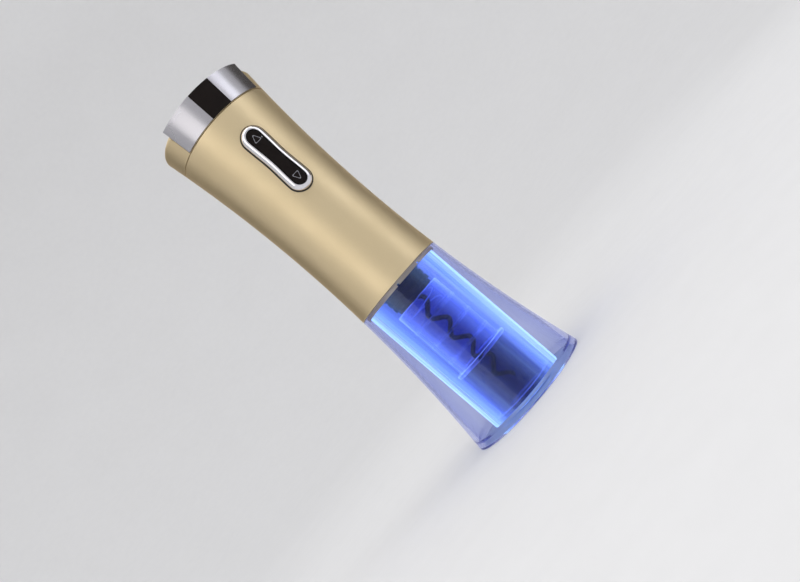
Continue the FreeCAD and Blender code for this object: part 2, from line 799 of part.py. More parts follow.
def screw_bars(label, radius, bottom, height):
    """Three bars on the gearbox's screw circle, clear of the front."""
    return [cylinder(label, radius, bottom, height, s.screw_orbit * cosine(angle),
                     s.screw_orbit * sine(angle)) for angle in (90, 210, 330)]


def lead_slot(label):
    """The channel at the front of the drive for the lamp leads."""
    depth = s.lead_orbit - s.lead_radius - s.loose
    return box(label, -s.lead_slot_half, -depth - s.lead_slot_depth, s.flange_bottom - s.loose,
               s.lead_slot_half * 2, s.lead_slot_depth, plate_top() - s.flange_bottom + s.loose * 2)


def make_output():
    spindle_bottom = s.spindle_foot
    disc_bottom = gearbox_floor() + s.loose
    carrier = turned("output", [
        (s.worm_collar + s.running, spindle_bottom),
        (s.spindle_radius, spindle_bottom),
        (s.spindle_radius, disc_bottom),
        (s.carrier_radius, disc_bottom),
        (s.carrier_radius, output_face()),
        (0, output_face()),
        (0, s.socket_top + s.running),
        (s.worm_collar + s.running, s.socket_top + s.running),
    ])
    keep(fuse("output_carrier", carrier, *planet_pins("output_pin", output_face())), "output_carrier")

    bush_bottom = s.cup_bottom + s.cup_depth
    bush_top = gearbox_floor() - s.slip
    bush_bore = s.spindle_radius + s.running
    keep(turned("spindle_bush", [
        (bush_bore, bush_bottom + s.slip), (s.bush_radius, bush_bottom + s.slip),
        (s.bush_radius, bush_top), (bush_bore, bush_top),
    ]), "spindle_bush")
    lip = s.spindle_radius + s.loose
    flange = s.collar_radius - s.collar_wall - s.slip
    cup = turned("cup", [
        (s.cup_bore, s.cup_bottom),
        (s.cup_radius, s.cup_bottom),
        (s.cup_radius, s.flange_bottom),
        (flange, s.flange_bottom),
        (flange, gearbox_floor()),
        (s.bush_radius, gearbox_floor()),
        (s.bush_radius, bush_bottom),
        (lip, bush_bottom),
        (lip, bush_bottom - s.cup_lip),
        (s.cup_bore, bush_bottom - s.cup_lip),
    ])
    holes = screw_bars("flange_screw_hole", s.screw_radius, s.flange_bottom, s.flange_thickness)
    keep(cut("spindle_housing", cup, lead_slot("flange_lead_slot"), *holes), "spindle_housing")


def make_worm():
    helix = doc.addObject("Part::Helix", "worm_path")
    bind(helix, "Radius", s.worm_orbit)
    bind(helix, "Height", s.worm_length)
    bind(helix, "Pitch", s.worm_pitch)
    place(helix, 0, 0, s.worm_bottom)
    wire = doc.addObject("Part::Circle", "worm_wire")
    bind(wire, "Radius", s.wire_radius)
    place(wire, s.worm_orbit, 0, s.worm_bottom, Vector(1, 0, 0), 90)
    screw = doc.addObject("Part::Sweep", "worm_screw")
    screw.Sections = [wire]
    screw.Spine = (helix, [])
    screw.Solid = True
    screw.Frenet = True
    lap = s.worm_orbit * 2 * math.pi
    along = root(lap * lap + s.worm_pitch * s.worm_pitch)
    steepness = Size(180 - math.degrees(math.atan(lap.value / s.worm_pitch.value)),
                     "(180 - atan(" + lap.text + " / " + s.worm_pitch.text + ") / 1 deg)")
    point = doc.addObject("Part::Cone", "worm_point")
    bind(point, "Radius1", s.wire_radius + s.point_shoulder)
    point.Radius2 = 0
    bind(point, "Height", s.worm_point)
    place(point, s.worm_orbit, s.point_sink * lap / along,
          s.worm_bottom + s.point_sink * s.worm_pitch / along, Vector(1, 0, 0), steepness)
    bottom = s.spindle_foot - s.worm_collar_drop
    collar = cylinder("worm_collar", s.worm_collar, bottom, s.socket_top - bottom)
    keep(fuse("worm", screw, point, collar), "worm")


def make_motor():
    bottom = plate_top()
    top = bottom + s.motor_length
    plate = cylinder("plate", s.gearbox_radius, plate_bottom(), s.plate_thickness)
    middle = cylinder("plate_hole", s.plate_hole, plate_bottom(), s.plate_thickness)
    holes = screw_bars("plate_screw_hole", s.screw_radius + s.running, plate_bottom(), s.plate_thickness)
    seats = []
    screws = []
    reach = s.plate_thickness + s.screw_bite
    for side in (-1, 1):
        x = s.motor_screw_orbit * side
        head = cylinder("motor_screw_head", s.screw_head, plate_bottom(), s.plate_thickness / 2, x)
        shank = cylinder("motor_screw_shank", s.screw_radius, plate_bottom(), reach, x)
        screws.append(fuse("motor_screw", head, shank))
        seats.append(cylinder("motor_screw_seat", s.screw_head, plate_bottom(), s.plate_thickness / 2, x))
        seats.append(cylinder("motor_screw_hole", s.screw_radius, plate_bottom(), reach, x))
    keep(cut("motor_plate", plate, middle, lead_slot("plate_lead_slot"), *holes, *seats), "motor_plate")
    group("motor_screws", screws)
    long_screws = []
    heads = screw_bars("gearbox_screw_head", s.screw_head, plate_top(), s.screw_head_height)
    shanks = screw_bars("gearbox_screw_shank", s.screw_radius, s.flange_bottom,
                        plate_top() - s.flange_bottom + s.screw_head_height / 2)
    for head, shank in zip(heads, shanks):
        long_screws.append(fuse("gearbox_screw", head, shank))
    group("gearbox_screws", long_screws)

    shaft_hole = s.shaft_radius + s.running
    can = cylinder("can", s.motor_radius, bottom, s.motor_length)
    bores = [cylinder("can_bore", shaft_hole, bottom, s.motor_length)]
    for side in (-1, 1):
        bores.append(cylinder("can_screw_hole", s.screw_radius, bottom, s.screw_bite,
                              s.motor_screw_orbit * side))
    keep(cut("motor_can", can, *bores), "motor_can")
    lid = cylinder("lid", s.end_cap_radius, top, s.end_cap_height)
    tabs = []
    for side in (-1, 1):
        tabs.append(centred_box("motor_tab", s.terminal_spread * side, -s.terminal_back,
                                top + s.end_cap_height, s.tab_width, s.tab_length,
                                s.tab_height))
    lid = fuse("lid", lid, *tabs)
    keep(cut("motor_end_cap", lid, cylinder("lid_bore", shaft_hole, top, s.end_cap_height - s.end_cap_skin)),
         "motor_end_cap")
    shaft_bottom = upper_gears() + s.slip
    shaft_length = top + s.shaft_tail - shaft_bottom
    keep(cylinder("motor_shaft", s.shaft_radius, shaft_bottom, shaft_length), "motor_shaft")

    height = holder_bottom() - s.loose - bottom
    sleeve_inner = s.motor_radius + s.loose
    sleeve = cylinder("sleeve", sleeve_inner + s.cradle_wall, bottom, height)
    ribs = []
    for angle in (45, 135, 225, 315):
        rib = box("cradle_rib", 0, 0, bottom, s.cradle_reach, s.rib_thickness, height)
        ribs.append(place(rib, s.rib_thickness / 2 * sine(angle), -s.rib_thickness / 2 * cosine(angle),
                          bottom, UP, angle))
    hollow = cylinder("sleeve_bore", sleeve_inner, bottom, height)
    notch_half = s.terminal_spread * 1.5
    notch = box("sleeve_notch", -notch_half, -s.cradle_reach, top + s.end_cap_height - s.loose,
                notch_half * 2, s.cradle_reach - s.terminal_back + s.tab_length, s.cradle_notch)
    keep(cut("motor_cradle", fuse("cradle", sleeve, *ribs), hollow, notch), "motor_cradle")

    leads = []
    tab_front = s.terminal_back + s.tab_length / 2
    for side in (-1, 1):
        leads.append(cross_cylinder("motor_lead", s.lead_radius,
                                    s.board_face - s.board_thickness - tab_front, "y",
                                    s.terminal_spread * side, -tab_front,
                                    top + s.end_cap_height + s.tab_height / 2))
    group("motor_leads", leads)


# ---------------------------------------------------------------- lamps

def make_lamps():
    inner = s.cup_radius + s.loose
    outer = s.collar_radius - s.collar_wall - s.slip * 2
    bottom = s.lamp_board_bottom
    top = bottom + s.lamp_board_thickness
    keep(turned("lamp_board", [(inner, bottom), (outer, bottom), (outer, top), (inner, top)]),
         "lamp_board")
    lamps = []
    for number in range(LAMPS):
        angle = 360 / LAMPS * (number + 0.5)
        lamps.append(centred_box("lamp", s.lamp_orbit * cosine(angle), s.lamp_orbit * sine(angle),
                                 bottom - s.lamp_drop, s.lamp_side, s.lamp_side, s.lamp_drop))
    group("lamps", lamps)
    leads = []
    for side in (-1, 1):
        leads.append(cylinder("lamp_lead", s.lead_radius, top, s.board_bottom - top,
                              s.lead_spread * side, -s.lead_orbit))
    group("lamp_leads", leads)


# ---------------------------------------------------------------- cap

def make_battery_cap():
    bottom = s.body_top + s.seam_gap
    floor = s.cap_floor - s.cap_floor_thickness
    shoulder = s.cap_top - s.cap_round
    skirt = s.skirt_radius
    cap = turned("cap", [
        (0, floor),
        (skirt - s.skirt_wall, floor),
        (skirt - s.skirt_wall, floor - s.skirt_depth),
        (skirt, floor - s.skirt_depth),
        (skirt, bottom),
        (flank(bottom), bottom),
        (flank(shoulder), shoulder, -s.flank_radius),
        (flank(shoulder) - s.cap_round, s.cap_top, s.cap_round * CORNER_EASE),
        (s.cap_well, s.cap_top),
        (s.cap_well, s.cap_floor),
        (s.post_radius, s.cap_floor),
        (s.post_radius, s.post_top),
        (0, s.post_top),
    ])
    window = wedge_ring("cap_window", s.post_radius + s.post_gap, s.beyond, s.cap_floor,
                        s.cutter_top - s.cap_floor, -s.window_angle, s.window_angle * 2)
    keep(cut("battery_cap", cap, window), "battery_cap")
    strips = []
    for side in (-1, 1):
        strips.append(centred_box("cap_strip", 0, s.cell_offset * side, floor - s.plate_sheet,
                                  s.plate_length, s.plate_width, s.plate_sheet))
    group("cap_contacts", strips)


# ---------------------------------------------------------------- foil cutter

def cutter_sector(label, start, sweep):
    """A stretch of the cutter's outer band, from an angle to the right of the front."""
    skin = band(label + "_band", s.cutter_bottom, s.cutter_top, s.cutter_wall, s.cutter_proud)
    wedge = cylinder(label + "_wedge", s.beyond, s.cutter_bottom,
                     s.cutter_height, start=start, sweep=sweep)
    return common(label, skin, wedge)


def wheel_place(side, angle):
    return (s.wheel_orbit * sine(angle) * side, -s.wheel_orbit * cosine(angle))


def make_cutter_bridge():
    skin = cutter_sector("bridge_skin", -s.bridge_angle, s.bridge_angle * 2)
    block = wedge_ring("bridge_block", s.bridge_inner, flank(s.cutter_bottom) - s.skin_lap,
                       s.cutter_bottom, s.cutter_height, -s.bridge_angle, s.bridge_angle * 2)
    slot_bottom = s.web_bottom - s.web_gap
    slot_height = s.web_height + s.web_gap * 2
    slot_angle = s.bridge_angle * 3 / 4
    pin_bottom = s.cutter_bottom + s.pivot_floor
    pin_height = s.cutter_height - s.pivot_floor - s.pivot_roof
    tools = []
    pins = []
    for side in (-1, 1):
        x = s.pivot_side * side
        tools.append(cylinder("bridge_eye", s.eye_radius + s.web_gap, slot_bottom, slot_height,
                              x, -s.pivot_front))
        start = slot_angle if side > 0 else -slot_angle * 2
        tools.append(wedge_ring("bridge_slot", s.bridge_inner - s.skin_lap, s.cap_well + s.slot_reach,
                                slot_bottom, slot_height, start, slot_angle))
        tools.append(cylinder("bridge_pin_hole", s.pivot_pin, pin_bottom, pin_height, x, -s.pivot_front))
        pins.append(cylinder("cutter_pivot", s.pivot_pin, pin_bottom, pin_height, x, -s.pivot_front))
    keep(cut("cutter_bridge", fuse("bridge", skin, block), *tools), "cutter_bridge")
    group("cutter_pivots", pins)


def make_cutter_arm(side, name):
    start = s.bridge_angle + s.bridge_gap
    outer_sweep = s.arm_angle - start
    web_start = start + s.web_from
    web_sweep = s.web_end - web_start
    jaw_sweep = s.jaw_end - web_start
    skin = cutter_sector(name + "_skin", start if side > 0 else -s.arm_angle, outer_sweep)
    web = wedge_ring(name + "_web", s.jaw_inner + s.web_lap, s.cap_well + s.web_reach, s.web_bottom,
                     s.web_height, web_start if side > 0 else -s.web_end, web_sweep)
    jaw = wedge_ring(name + "_jaw", s.jaw_inner, s.jaw_outer, s.jaw_bottom, s.jaw_height,
                     web_start if side > 0 else -s.jaw_end, jaw_sweep)
    x = s.pivot_side * side
    eye = cylinder(name + "_eye", s.eye_radius, s.web_bottom, s.web_height, x, -s.pivot_front)
    link = box(name + "_link", x if side > 0 else x - s.link_length, -s.pivot_front - s.link_half,
               s.web_bottom, s.link_length, s.link_half * 2, s.web_height)
    tools = [cylinder(name + "_pivot_bore", s.pivot_pin + s.running, s.web_bottom, s.web_height,
                      x, -s.pivot_front)]
    pins = []
    pin_bottom = s.jaw_bottom + s.wheel_pin_floor
    pin_height = s.jaw_height - s.wheel_pin_floor - s.wheel_pin_roof
    for angle in (s.front_wheel, s.rear_wheel):
        wheel_x, wheel_y = wheel_place(side, angle)
        tools.append(cylinder(name + "_wheel_slot", s.wheel_radius + s.loose * 1.5,
                              s.wheel_height - s.wheel_thickness / 2 - s.loose,
                              s.wheel_thickness + s.loose * 2, wheel_x, wheel_y))
        tools.append(cylinder(name + "_pin_hole", s.wheel_pin, pin_bottom, pin_height, wheel_x, wheel_y))
        pins.append(cylinder(name + "_pin", s.wheel_pin, pin_bottom, pin_height, wheel_x, wheel_y))
    keep(cut(name, fuse(name, skin, web, jaw, eye, link), *tools), name)
    group(name + "_wheel_pins", pins)
    for place_name, angle in (("front", s.front_wheel), ("rear", s.rear_wheel)):
        make_wheel("%s_%s_wheel" % (name.split("_")[0], place_name), *wheel_place(side, angle))


def make_wheel(label, x, y):
    """A steel cutting disc with a ground edge, about its own pin."""
    middle = s.wheel_height
    half = s.wheel_thickness / 2
    bore = s.wheel_pin + s.running
    edge = s.wheel_edge / 2
    flat = s.wheel_radius - s.wheel_bevel
    wheel = turned(label, [
        (bore, middle - half), (flat, middle - half), (s.wheel_radius, middle - edge),
        (s.wheel_radius, middle + edge), (flat, middle + half), (bore, middle + half),
    ])
    bind(wheel, "Placement.Base.x", x)
    bind(wheel, "Placement.Base.y", y)
    keep(wheel, label)


# ---------------------------------------------------------------- check and write

def check(thing):
    """Stop if an object failed or a piece's shape is empty or broken."""
    shape = thing.Shape
    if shape.isNull() or not shape.isValid() or not shape.Solids:
        raise ValueError("%s has no sound shape" % thing.Label)


def write_pieces():
    doc.recompute()
    failed = [thing.Name for thing in doc.Objects if {"Invalid", "Error"} & set(thing.State)]
    if failed:
        raise ValueError("failed: " + ", ".join(failed))
    os.makedirs(OUTPUT, exist_ok=True)
    for piece in pieces:
        check(piece)
        piece.Shape.exportStep(os.path.join(OUTPUT, piece.Label + ".step"))
        print("%-24s %2d solid(s) %10.1f mm3" % (piece.Label, len(piece.Shape.Solids), piece.Shape.Volume))


def main():
    make_body_shell()
    make_collar_ring()
    make_bell()
    make_inner_tube()
    make_neck_guide()
    make_cork_tube()
    make_button()
    make_switch_board()
    make_cells()
    make_gear_train()
    make_output()
    make_worm()
    make_motor()
    make_lamps()
    make_battery_cap()
    make_cutter_bridge()
    make_cutter_arm(-1, "left_arm")
    make_cutter_arm(1, "right_arm")
    write_pieces()


main()
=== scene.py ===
"""Visual model of an electric wine opener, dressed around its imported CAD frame.

Sizes in the classes are millimetres in the frame of the CAD model: the opener stands on the rim of its clear
bell, its axis is Z and its button looks along -Y. Meshes are written in metres.
"""

import logging
import math
from dataclasses import dataclass, field
from enum import Enum
from typing import Callable, Optional, Sequence

import bmesh
import bpy
from mathutils import Matrix, Vector


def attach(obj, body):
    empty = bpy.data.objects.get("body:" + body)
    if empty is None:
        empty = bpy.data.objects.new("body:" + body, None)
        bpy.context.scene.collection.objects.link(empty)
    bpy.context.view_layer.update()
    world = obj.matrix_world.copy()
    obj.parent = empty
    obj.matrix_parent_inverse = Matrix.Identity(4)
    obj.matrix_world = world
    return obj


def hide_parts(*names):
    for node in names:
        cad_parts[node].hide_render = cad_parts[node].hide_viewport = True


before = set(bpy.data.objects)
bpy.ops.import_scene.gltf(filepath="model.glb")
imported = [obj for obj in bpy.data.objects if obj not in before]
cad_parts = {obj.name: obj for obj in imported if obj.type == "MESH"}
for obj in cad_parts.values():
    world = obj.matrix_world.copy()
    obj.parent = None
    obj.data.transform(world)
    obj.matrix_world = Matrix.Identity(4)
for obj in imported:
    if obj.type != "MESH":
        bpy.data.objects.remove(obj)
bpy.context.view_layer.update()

MM = 0.001
CREASE = 32.0  # degrees past which an edge is sharp
ROUND_STEPS = 216  # faces round the body and the bell
TURN = 2 * math.pi
LOG = logging.getLogger("wine_opener")

Colour = tuple[float, float, float]
Point2 = tuple[float, float]
Point3 = tuple[float, float, float]
Term = float | bpy.types.NodeSocket
Dent = Callable[[float, float], float]


class Body(Enum):
    """The CAD bodies that pieces ride on."""

    OPENER = "opener"
    DRILL = "drill"
    ROCKER = "rocker"
    CAP = "cap"
    CUTTER = "foil_cutter"
    LEFT_JAW = "left_jaw"
    RIGHT_JAW = "right_jaw"


class Grain(Enum):
    """How the fine pattern of a finish is laid on its piece."""

    EVEN = (1.0, 1.0, 1.0)
    LENGTHWISE = (1.0, 1.0, 0.04)
    AROUND = (0.06, 0.06, 1.0)


def add_node(
    tree: bpy.types.NodeTree, kind: str, values: Optional[dict] = None, **settings: str
) -> bpy.types.Node:
    """Adds a node to a tree.

    Args:
        tree: The tree.
        kind: The node's type.
        values: For an input's name or place, the socket that feeds it or its plain value.
        **settings: The node's own settings.

    Returns:
        The new node.
    """
    node = tree.nodes.new(kind)
    for label, value in settings.items():
        setattr(node, label, value)
    for label, value in (values or {}).items():
        if isinstance(value, bpy.types.NodeSocket):
            tree.links.new(value, node.inputs[label])
        else:
            node.inputs[label].default_value = value
    return node


def add_object(name: str, data: bpy.types.ID) -> bpy.types.Object:
    """Puts a mesh, light or camera in the scene as an object."""
    made = bpy.data.objects.new(name, data)
    bpy.context.scene.collection.objects.link(made)
    return made


# ---------------------------------------------------------------- finishes


FINE_SHARE = 0.6  # of the colour pattern; the rest is the broad mottling
FINE_DETAIL = 3.0  # octaves
BROAD_DETAIL = 2.0
PATTERN_LOW = 0.3
PATTERN_HIGH = 0.7
# Cells of the lengthwise streaks in the painted edge light.
STREAK_CELLS = 380.0  # in a metre


@dataclass(frozen=True)
class Finish:
    """A surface finish: two close colours mixed by a fine grain, with its own gloss, relief and clearness.

    Attributes:
        name: Name of the material.
        colour: Main colour, linear.
        shade: Second colour, reached where the pattern is strongest.
        roughness: Middle roughness.
        spread: How far the roughness strays to each side.
        metallic: Share of metal.
        grain: Pattern cells in a metre.
        lay: Direction in which the grain is drawn out.
        cloud: Cells in a metre of the broad mottling that lies over the grain.
        relief: Height of the grain in metres, 0 for none.
        coat: Weight of a clear coat.
        coat_roughness: Roughness of the clear coat.
        clearness: Share of light that passes through.
        ior: Index of refraction.
        edge_tint: Colour of the mirror light near the edges of a metal.
        glow: Colour of the light it gives out: a lamp's light, and painted glow on parts that are no lamp.
        glow_strength: Strength of that light, lamp light and painted glow alike.
        depth_tint: Colour that a long way through it leaves.
        depth_density: How fast it reaches that colour, in a metre.
    """

    name: str
    colour: Colour
    shade: Colour
    roughness: float
    spread: float = 0.04
    metallic: float = 0.0
    grain: float = 900.0
    lay: Grain = Grain.EVEN
    cloud: float = 45.0
    relief: float = 0.0
    coat: float = 0.0
    coat_roughness: float = 0.05
    clearness: float = 0.0
    ior: float = 1.46
    edge_tint: Colour = (1.0, 1.0, 1.0)
    glow: Colour = (0.0, 0.0, 0.0)
    glow_strength: float = 0.0
    depth_tint: Colour = (1.0, 1.0, 1.0)
    depth_density: float = 0.0

    def material(self) -> bpy.types.Material:
        """Gives the finish's material, made once.

        Returns:
            The node material.
        """
        label = self.name + "_finish"
        made = bpy.data.materials.get(label)
        if made is not None:
            return made
        made = bpy.data.materials.new(label)
        made.use_nodes = True
        tree = made.node_tree
        shader = tree.nodes["Principled BSDF"]
        for socket, value in (
            ("Metallic", self.metallic), ("IOR", self.ior), ("Specular Tint", (*self.edge_tint, 1.0)),
            ("Transmission Weight", self.clearness), ("Coat Weight", self.coat),
            ("Coat Roughness", self.coat_roughness),
        ):
            shader.inputs[socket].default_value = value
        self.lay_pattern(tree, shader)
        self.add_light(tree, shader)
        return made

    def lay_pattern(self, tree: bpy.types.NodeTree, shader: bpy.types.ShaderNode) -> None:
        """Gives the colour, the gloss and the relief their pattern, and the depth its tint.

        Args:
            tree: The material's nodes.
            shader: Its Principled node.
        """
        fine = self.noise(tree, self.lay, self.grain, FINE_DETAIL)
        broad = self.noise(tree, Grain.EVEN, self.cloud, BROAD_DETAIL)
        both = add_node(tree, "ShaderNodeMix", {"Factor": FINE_SHARE, "A": broad, "B": fine})
        paint = add_node(tree, "ShaderNodeMix", {
            "Factor": self.between(tree, both.outputs["Result"], 0.0, 1.0),
            "A": (*self.colour, 1.0), "B": (*self.shade, 1.0),
        }, data_type="RGBA")
        gloss = self.between(tree, broad, self.roughness - self.spread, self.roughness + self.spread)
        tree.links.new(paint.outputs["Result"], shader.inputs["Base Color"])
        tree.links.new(gloss, shader.inputs["Roughness"])
        if self.relief:
            bump = add_node(tree, "ShaderNodeBump", {"Distance": self.relief, "Strength": 1.0, "Height": fine})
            tree.links.new(bump.outputs["Normal"], shader.inputs["Normal"])
        if self.depth_density:
            depth = add_node(tree, "ShaderNodeVolumeAbsorption", {
                "Color": (*self.depth_tint, 1.0), "Density": self.depth_density,
            })
            tree.links.new(depth.outputs["Volume"], tree.nodes["Material Output"].inputs["Volume"])

    def add_light(self, tree: bpy.types.NodeTree, shader: bpy.types.ShaderNode) -> None:
        """Adds the finish's emission, if it has any: a lamp's light, or painted glow on a part that is no lamp.

        Args:
            tree: The material's nodes.
            shader: Its Principled node.
        """
        if self.glow_strength:
            shader.inputs["Emission Color"].default_value = (*self.glow, 1.0)
            shader.inputs["Emission Strength"].default_value = self.glow_strength

    @staticmethod
    def noise(tree: bpy.types.NodeTree, lay: Grain, scale: float, detail: float) -> bpy.types.NodeSocket:
        """Adds a noise pattern that is fixed to the piece.

        Args:
            tree: The material's nodes.
            lay: Direction in which the pattern is drawn out.
            scale: Cells in a metre.
            detail: Octaves of finer pattern.

        Returns:
            The pattern's value.
        """
        place = add_node(tree, "ShaderNodeTexCoord")
        drawn = add_node(tree, "ShaderNodeMapping", {"Vector": place.outputs["Object"], "Scale": lay.value})
        pattern = {"Vector": drawn.outputs["Vector"], "Scale": scale, "Detail": detail}
        return add_node(tree, "ShaderNodeTexNoise", pattern).outputs["Fac"]

    @staticmethod
    def between(
        tree: bpy.types.NodeTree, value: bpy.types.NodeSocket, first: float, last: float
    ) -> bpy.types.NodeSocket:
        """Spreads the middle of a pattern's values over a range.

        Args:
            tree: The material's nodes.
            value: The pattern's value.
            first: Result where the pattern is at or below PATTERN_LOW.
            last: Result where the pattern is at or above PATTERN_HIGH.

        Returns:
            The result.
        """
        change = add_node(tree, "ShaderNodeMapRange", {
            "Value": value, "From Min": PATTERN_LOW, "From Max": PATTERN_HIGH, "To Min": first, "To Max": last,
        })
        return change.outputs["Result"]


@dataclass(frozen=True)
class GlowPaintedFinish(Finish):
    """Clear plastic with painted light: a painted glow inside it and a painted edge light, brighter where the wall
    is seen edge on.

    Attributes:
        painted_edge_glow: Colour of the painted light at the edges.
        edge_strength: Strength of the painted light at the edges.
        edge_reach: Blend of the edge weight, larger for a wider painted edge.
        painted_inner_glow: Painted glow given out in the plastic itself, in a metre.
        painted_light_streaks: How far the painted edge light strays to each side along the lay, in painted streaks.
    """

    painted_edge_glow: Colour = (0.4, 0.7, 1.0)
    edge_strength: float = 2.0
    edge_reach: float = 0.5
    painted_inner_glow: float = 0.0
    painted_light_streaks: float = 0.0

    def add_light(self, tree: bpy.types.NodeTree, shader: bpy.types.ShaderNode) -> None:
        """Adds the painted edge light, strongest where the wall is seen edge on, and the painted glow inside.

        Args:
            tree: The material's nodes.
            shader: Its Principled node.
        """
        # Painted edge light: emission weighted by the Layer Weight facing term, brightest where the wall is seen
        # edge on.
        edge = add_node(tree, "ShaderNodeLayerWeight", {"Blend": self.edge_reach})
        light = add_node(tree, "ShaderNodeMix", {
            "Factor": edge.outputs["Facing"], "A": (0.0, 0.0, 0.0, 1.0),
            "B": (*[share * self.edge_strength for share in self.painted_edge_glow], 1.0),
        }, data_type="RGBA")
        # Painted streaks: the painted edge light is made stronger and weaker in lengthwise stripes.
        if self.painted_light_streaks:
            pattern = self.noise(tree, Grain.LENGTHWISE, STREAK_CELLS, BROAD_DETAIL)
            weight = self.between(tree, pattern, 1 - self.painted_light_streaks, 1 + self.painted_light_streaks)
            light = add_node(tree, "ShaderNodeMix", {
                "Factor": 1.0, "A": light.outputs["Result"], "B": weight,
            }, data_type="RGBA", blend_type="MULTIPLY")
        tree.links.new(light.outputs["Result"], shader.inputs["Emission Color"])
        shader.inputs["Emission Strength"].default_value = 1.0
        # Painted glow inside the plastic: volume emission standing in for the lamps' light passing through it.
        if self.painted_inner_glow:
            inside = add_node(tree, "ShaderNodeEmission", {
                "Color": (*self.glow, 1.0), "Strength": self.painted_inner_glow,
            })
            tree.links.new(inside.outputs["Emission"], tree.nodes["Material Output"].inputs["Volume"])


CHAMPAGNE = Finish(
    "champagne_satin", (0.71, 0.585, 0.375), (0.64, 0.52, 0.32), 0.44, metallic=0.80, grain=5200.0, cloud=30.0,
    relief=0.000004, coat=0.06, coat_roughness=0.30, edge_tint=(0.80, 0.64, 0.45),
)
CHROME = Finish(
    "polished_chrome", (0.78, 0.77, 0.80), (0.72, 0.71, 0.75), 0.12, spread=0.03, metallic=1.0, grain=1500.0,
    cloud=60.0,
)
# Painted shade: a darker copy of the bezel's polished chrome, used on the cutter's arms, which are the same chrome.
CHROME_SHADED_COPY = Finish(
    "chrome_painted_shade", (0.51, 0.50, 0.53), (0.47, 0.46, 0.495), 0.26, spread=0.03, metallic=1.0, grain=2200.0,
    cloud=60.0, relief=0.000001,
)
BLACK_GLOSS = Finish(
    "black_gloss", (0.008, 0.006, 0.006), (0.013, 0.010, 0.009), 0.20, spread=0.05, grain=2500.0, cloud=70.0,
    ior=1.16,
)
BLACK_RUBBER = Finish(
    "black_rubber", (0.010, 0.009, 0.010), (0.020, 0.018, 0.018), 0.62, grain=3000.0, relief=0.00001,
)
MARK_PAINT = Finish(
    "mark_paint", (0.30, 0.30, 0.33), (0.20, 0.20, 0.23), 0.45, grain=3500.0,
)
# Painted light: blue glow on the bell's edges, brighter where its wall is seen edge on; the bell is no lamp.
BELL_CLEAR = GlowPaintedFinish(
    "bell_clear", (0.86, 0.89, 0.97), (0.83, 0.86, 0.96), 0.02, spread=0.015, clearness=1.0, ior=1.27,
    grain=120.0, cloud=20.0, depth_tint=(0.20, 0.27, 0.72), depth_density=95.0,
    painted_edge_glow=(0.16, 0.20, 0.85), edge_strength=0.30, edge_reach=0.10,
)
# Painted light: the tube's blue tint, painted glow inside and painted bright edges and streaks stand in for the
# lamps' blue light carried in it.
TUBE_PAINTED_GLOW = GlowPaintedFinish(
    "tube_painted_glow", (0.40, 0.46, 0.92), (0.30, 0.37, 0.88), 0.02, spread=0.015, clearness=1.0, ior=1.20,
    grain=700.0, lay=Grain.LENGTHWISE, glow=(0.13, 0.23, 0.86), painted_light_streaks=0.55,
    painted_edge_glow=(0.42, 0.74, 1.0), edge_strength=1.15, edge_reach=0.26, painted_inner_glow=9.5,
)
# Painted light: blue tint, painted glow inside and painted bright edges on the cork tube and the neck guide, which
# are no lamps.
CORK_TUBE_PAINTED_GLOW = GlowPaintedFinish(
    "cork_tube_painted_glow", (0.52, 0.57, 0.90), (0.45, 0.50, 0.87), 0.012, spread=0.01, clearness=1.0, ior=1.38,
    grain=500.0, lay=Grain.LENGTHWISE, glow=(0.16, 0.22, 1.0), painted_edge_glow=(0.45, 0.60, 1.0), edge_strength=1.3,
    edge_reach=0.20, painted_inner_glow=4.5, painted_light_streaks=0.45,
)
GUIDE_PAINTED_GLOW = GlowPaintedFinish(
    "guide_painted_glow", (0.24, 0.25, 0.44), (0.19, 0.20, 0.38), 0.015, spread=0.01, clearness=1.0, ior=1.38,
    grain=500.0, lay=Grain.LENGTHWISE, glow=(0.16, 0.20, 1.0), painted_edge_glow=(0.36, 0.48, 1.0), edge_strength=0.9,
    edge_reach=0.16, painted_inner_glow=1.2,
)
DARK_PLASTIC = Finish(
    "dark_plastic", (0.004, 0.006, 0.022), (0.007, 0.010, 0.032), 0.22, grain=1800.0, relief=0.00001, ior=1.18,
)
WORM_COAT = Finish(
    "worm_coat", (0.004, 0.006, 0.020), (0.007, 0.010, 0.028), 0.26, spread=0.08, grain=1400.0, relief=0.00001,
    ior=1.22,
)
STEEL = Finish(
    "brushed_steel", (0.52, 0.52, 0.53), (0.42, 0.42, 0.43), 0.28, metallic=1.0, grain=1600.0, lay=Grain.AROUND,
)
# Painted highlight: the spring's pale blue colour and its glow stand in for blue highlights on the wire; the spring
# is no lamp.
SPRING_WIRE_PAINTED_GLOW = Finish(
    "spring_wire", (0.72, 0.80, 0.98), (0.60, 0.68, 0.92), 0.26, metallic=0.35, grain=1800.0,
    glow=(0.34, 0.46, 1.0), glow_strength=0.42,
)
BLADE_STEEL = Finish(
    "blade_steel", (0.60, 0.60, 0.62), (0.50, 0.50, 0.52), 0.18, metallic=1.0, grain=1600.0,
)
CONTACT_METAL = Finish(
    "contact_metal", (0.62, 0.60, 0.55), (0.50, 0.48, 0.43), 0.24, metallic=1.0, grain=1500.0,
)
BRONZE = Finish("sintered_bronze", (0.45, 0.30, 0.15), (0.36, 0.23, 0.11), 0.38, metallic=1.0, grain=2600.0)
GEAR_PLASTIC = Finish("gear_plastic", (0.70, 0.69, 0.64), (0.62, 0.61, 0.57), 0.42, grain=1700.0)
CIRCUIT_BOARD = Finish("circuit_board", (0.02, 0.14, 0.06), (0.03, 0.19, 0.08), 0.35, grain=900.0, coat=0.4)
LAMP_LENS = Finish(
    "lamp_lens", (0.75, 0.85, 1.0), (0.65, 0.78, 1.0), 0.12, grain=900.0, glow=(0.20, 0.38, 1.0), glow_strength=5.0,
)
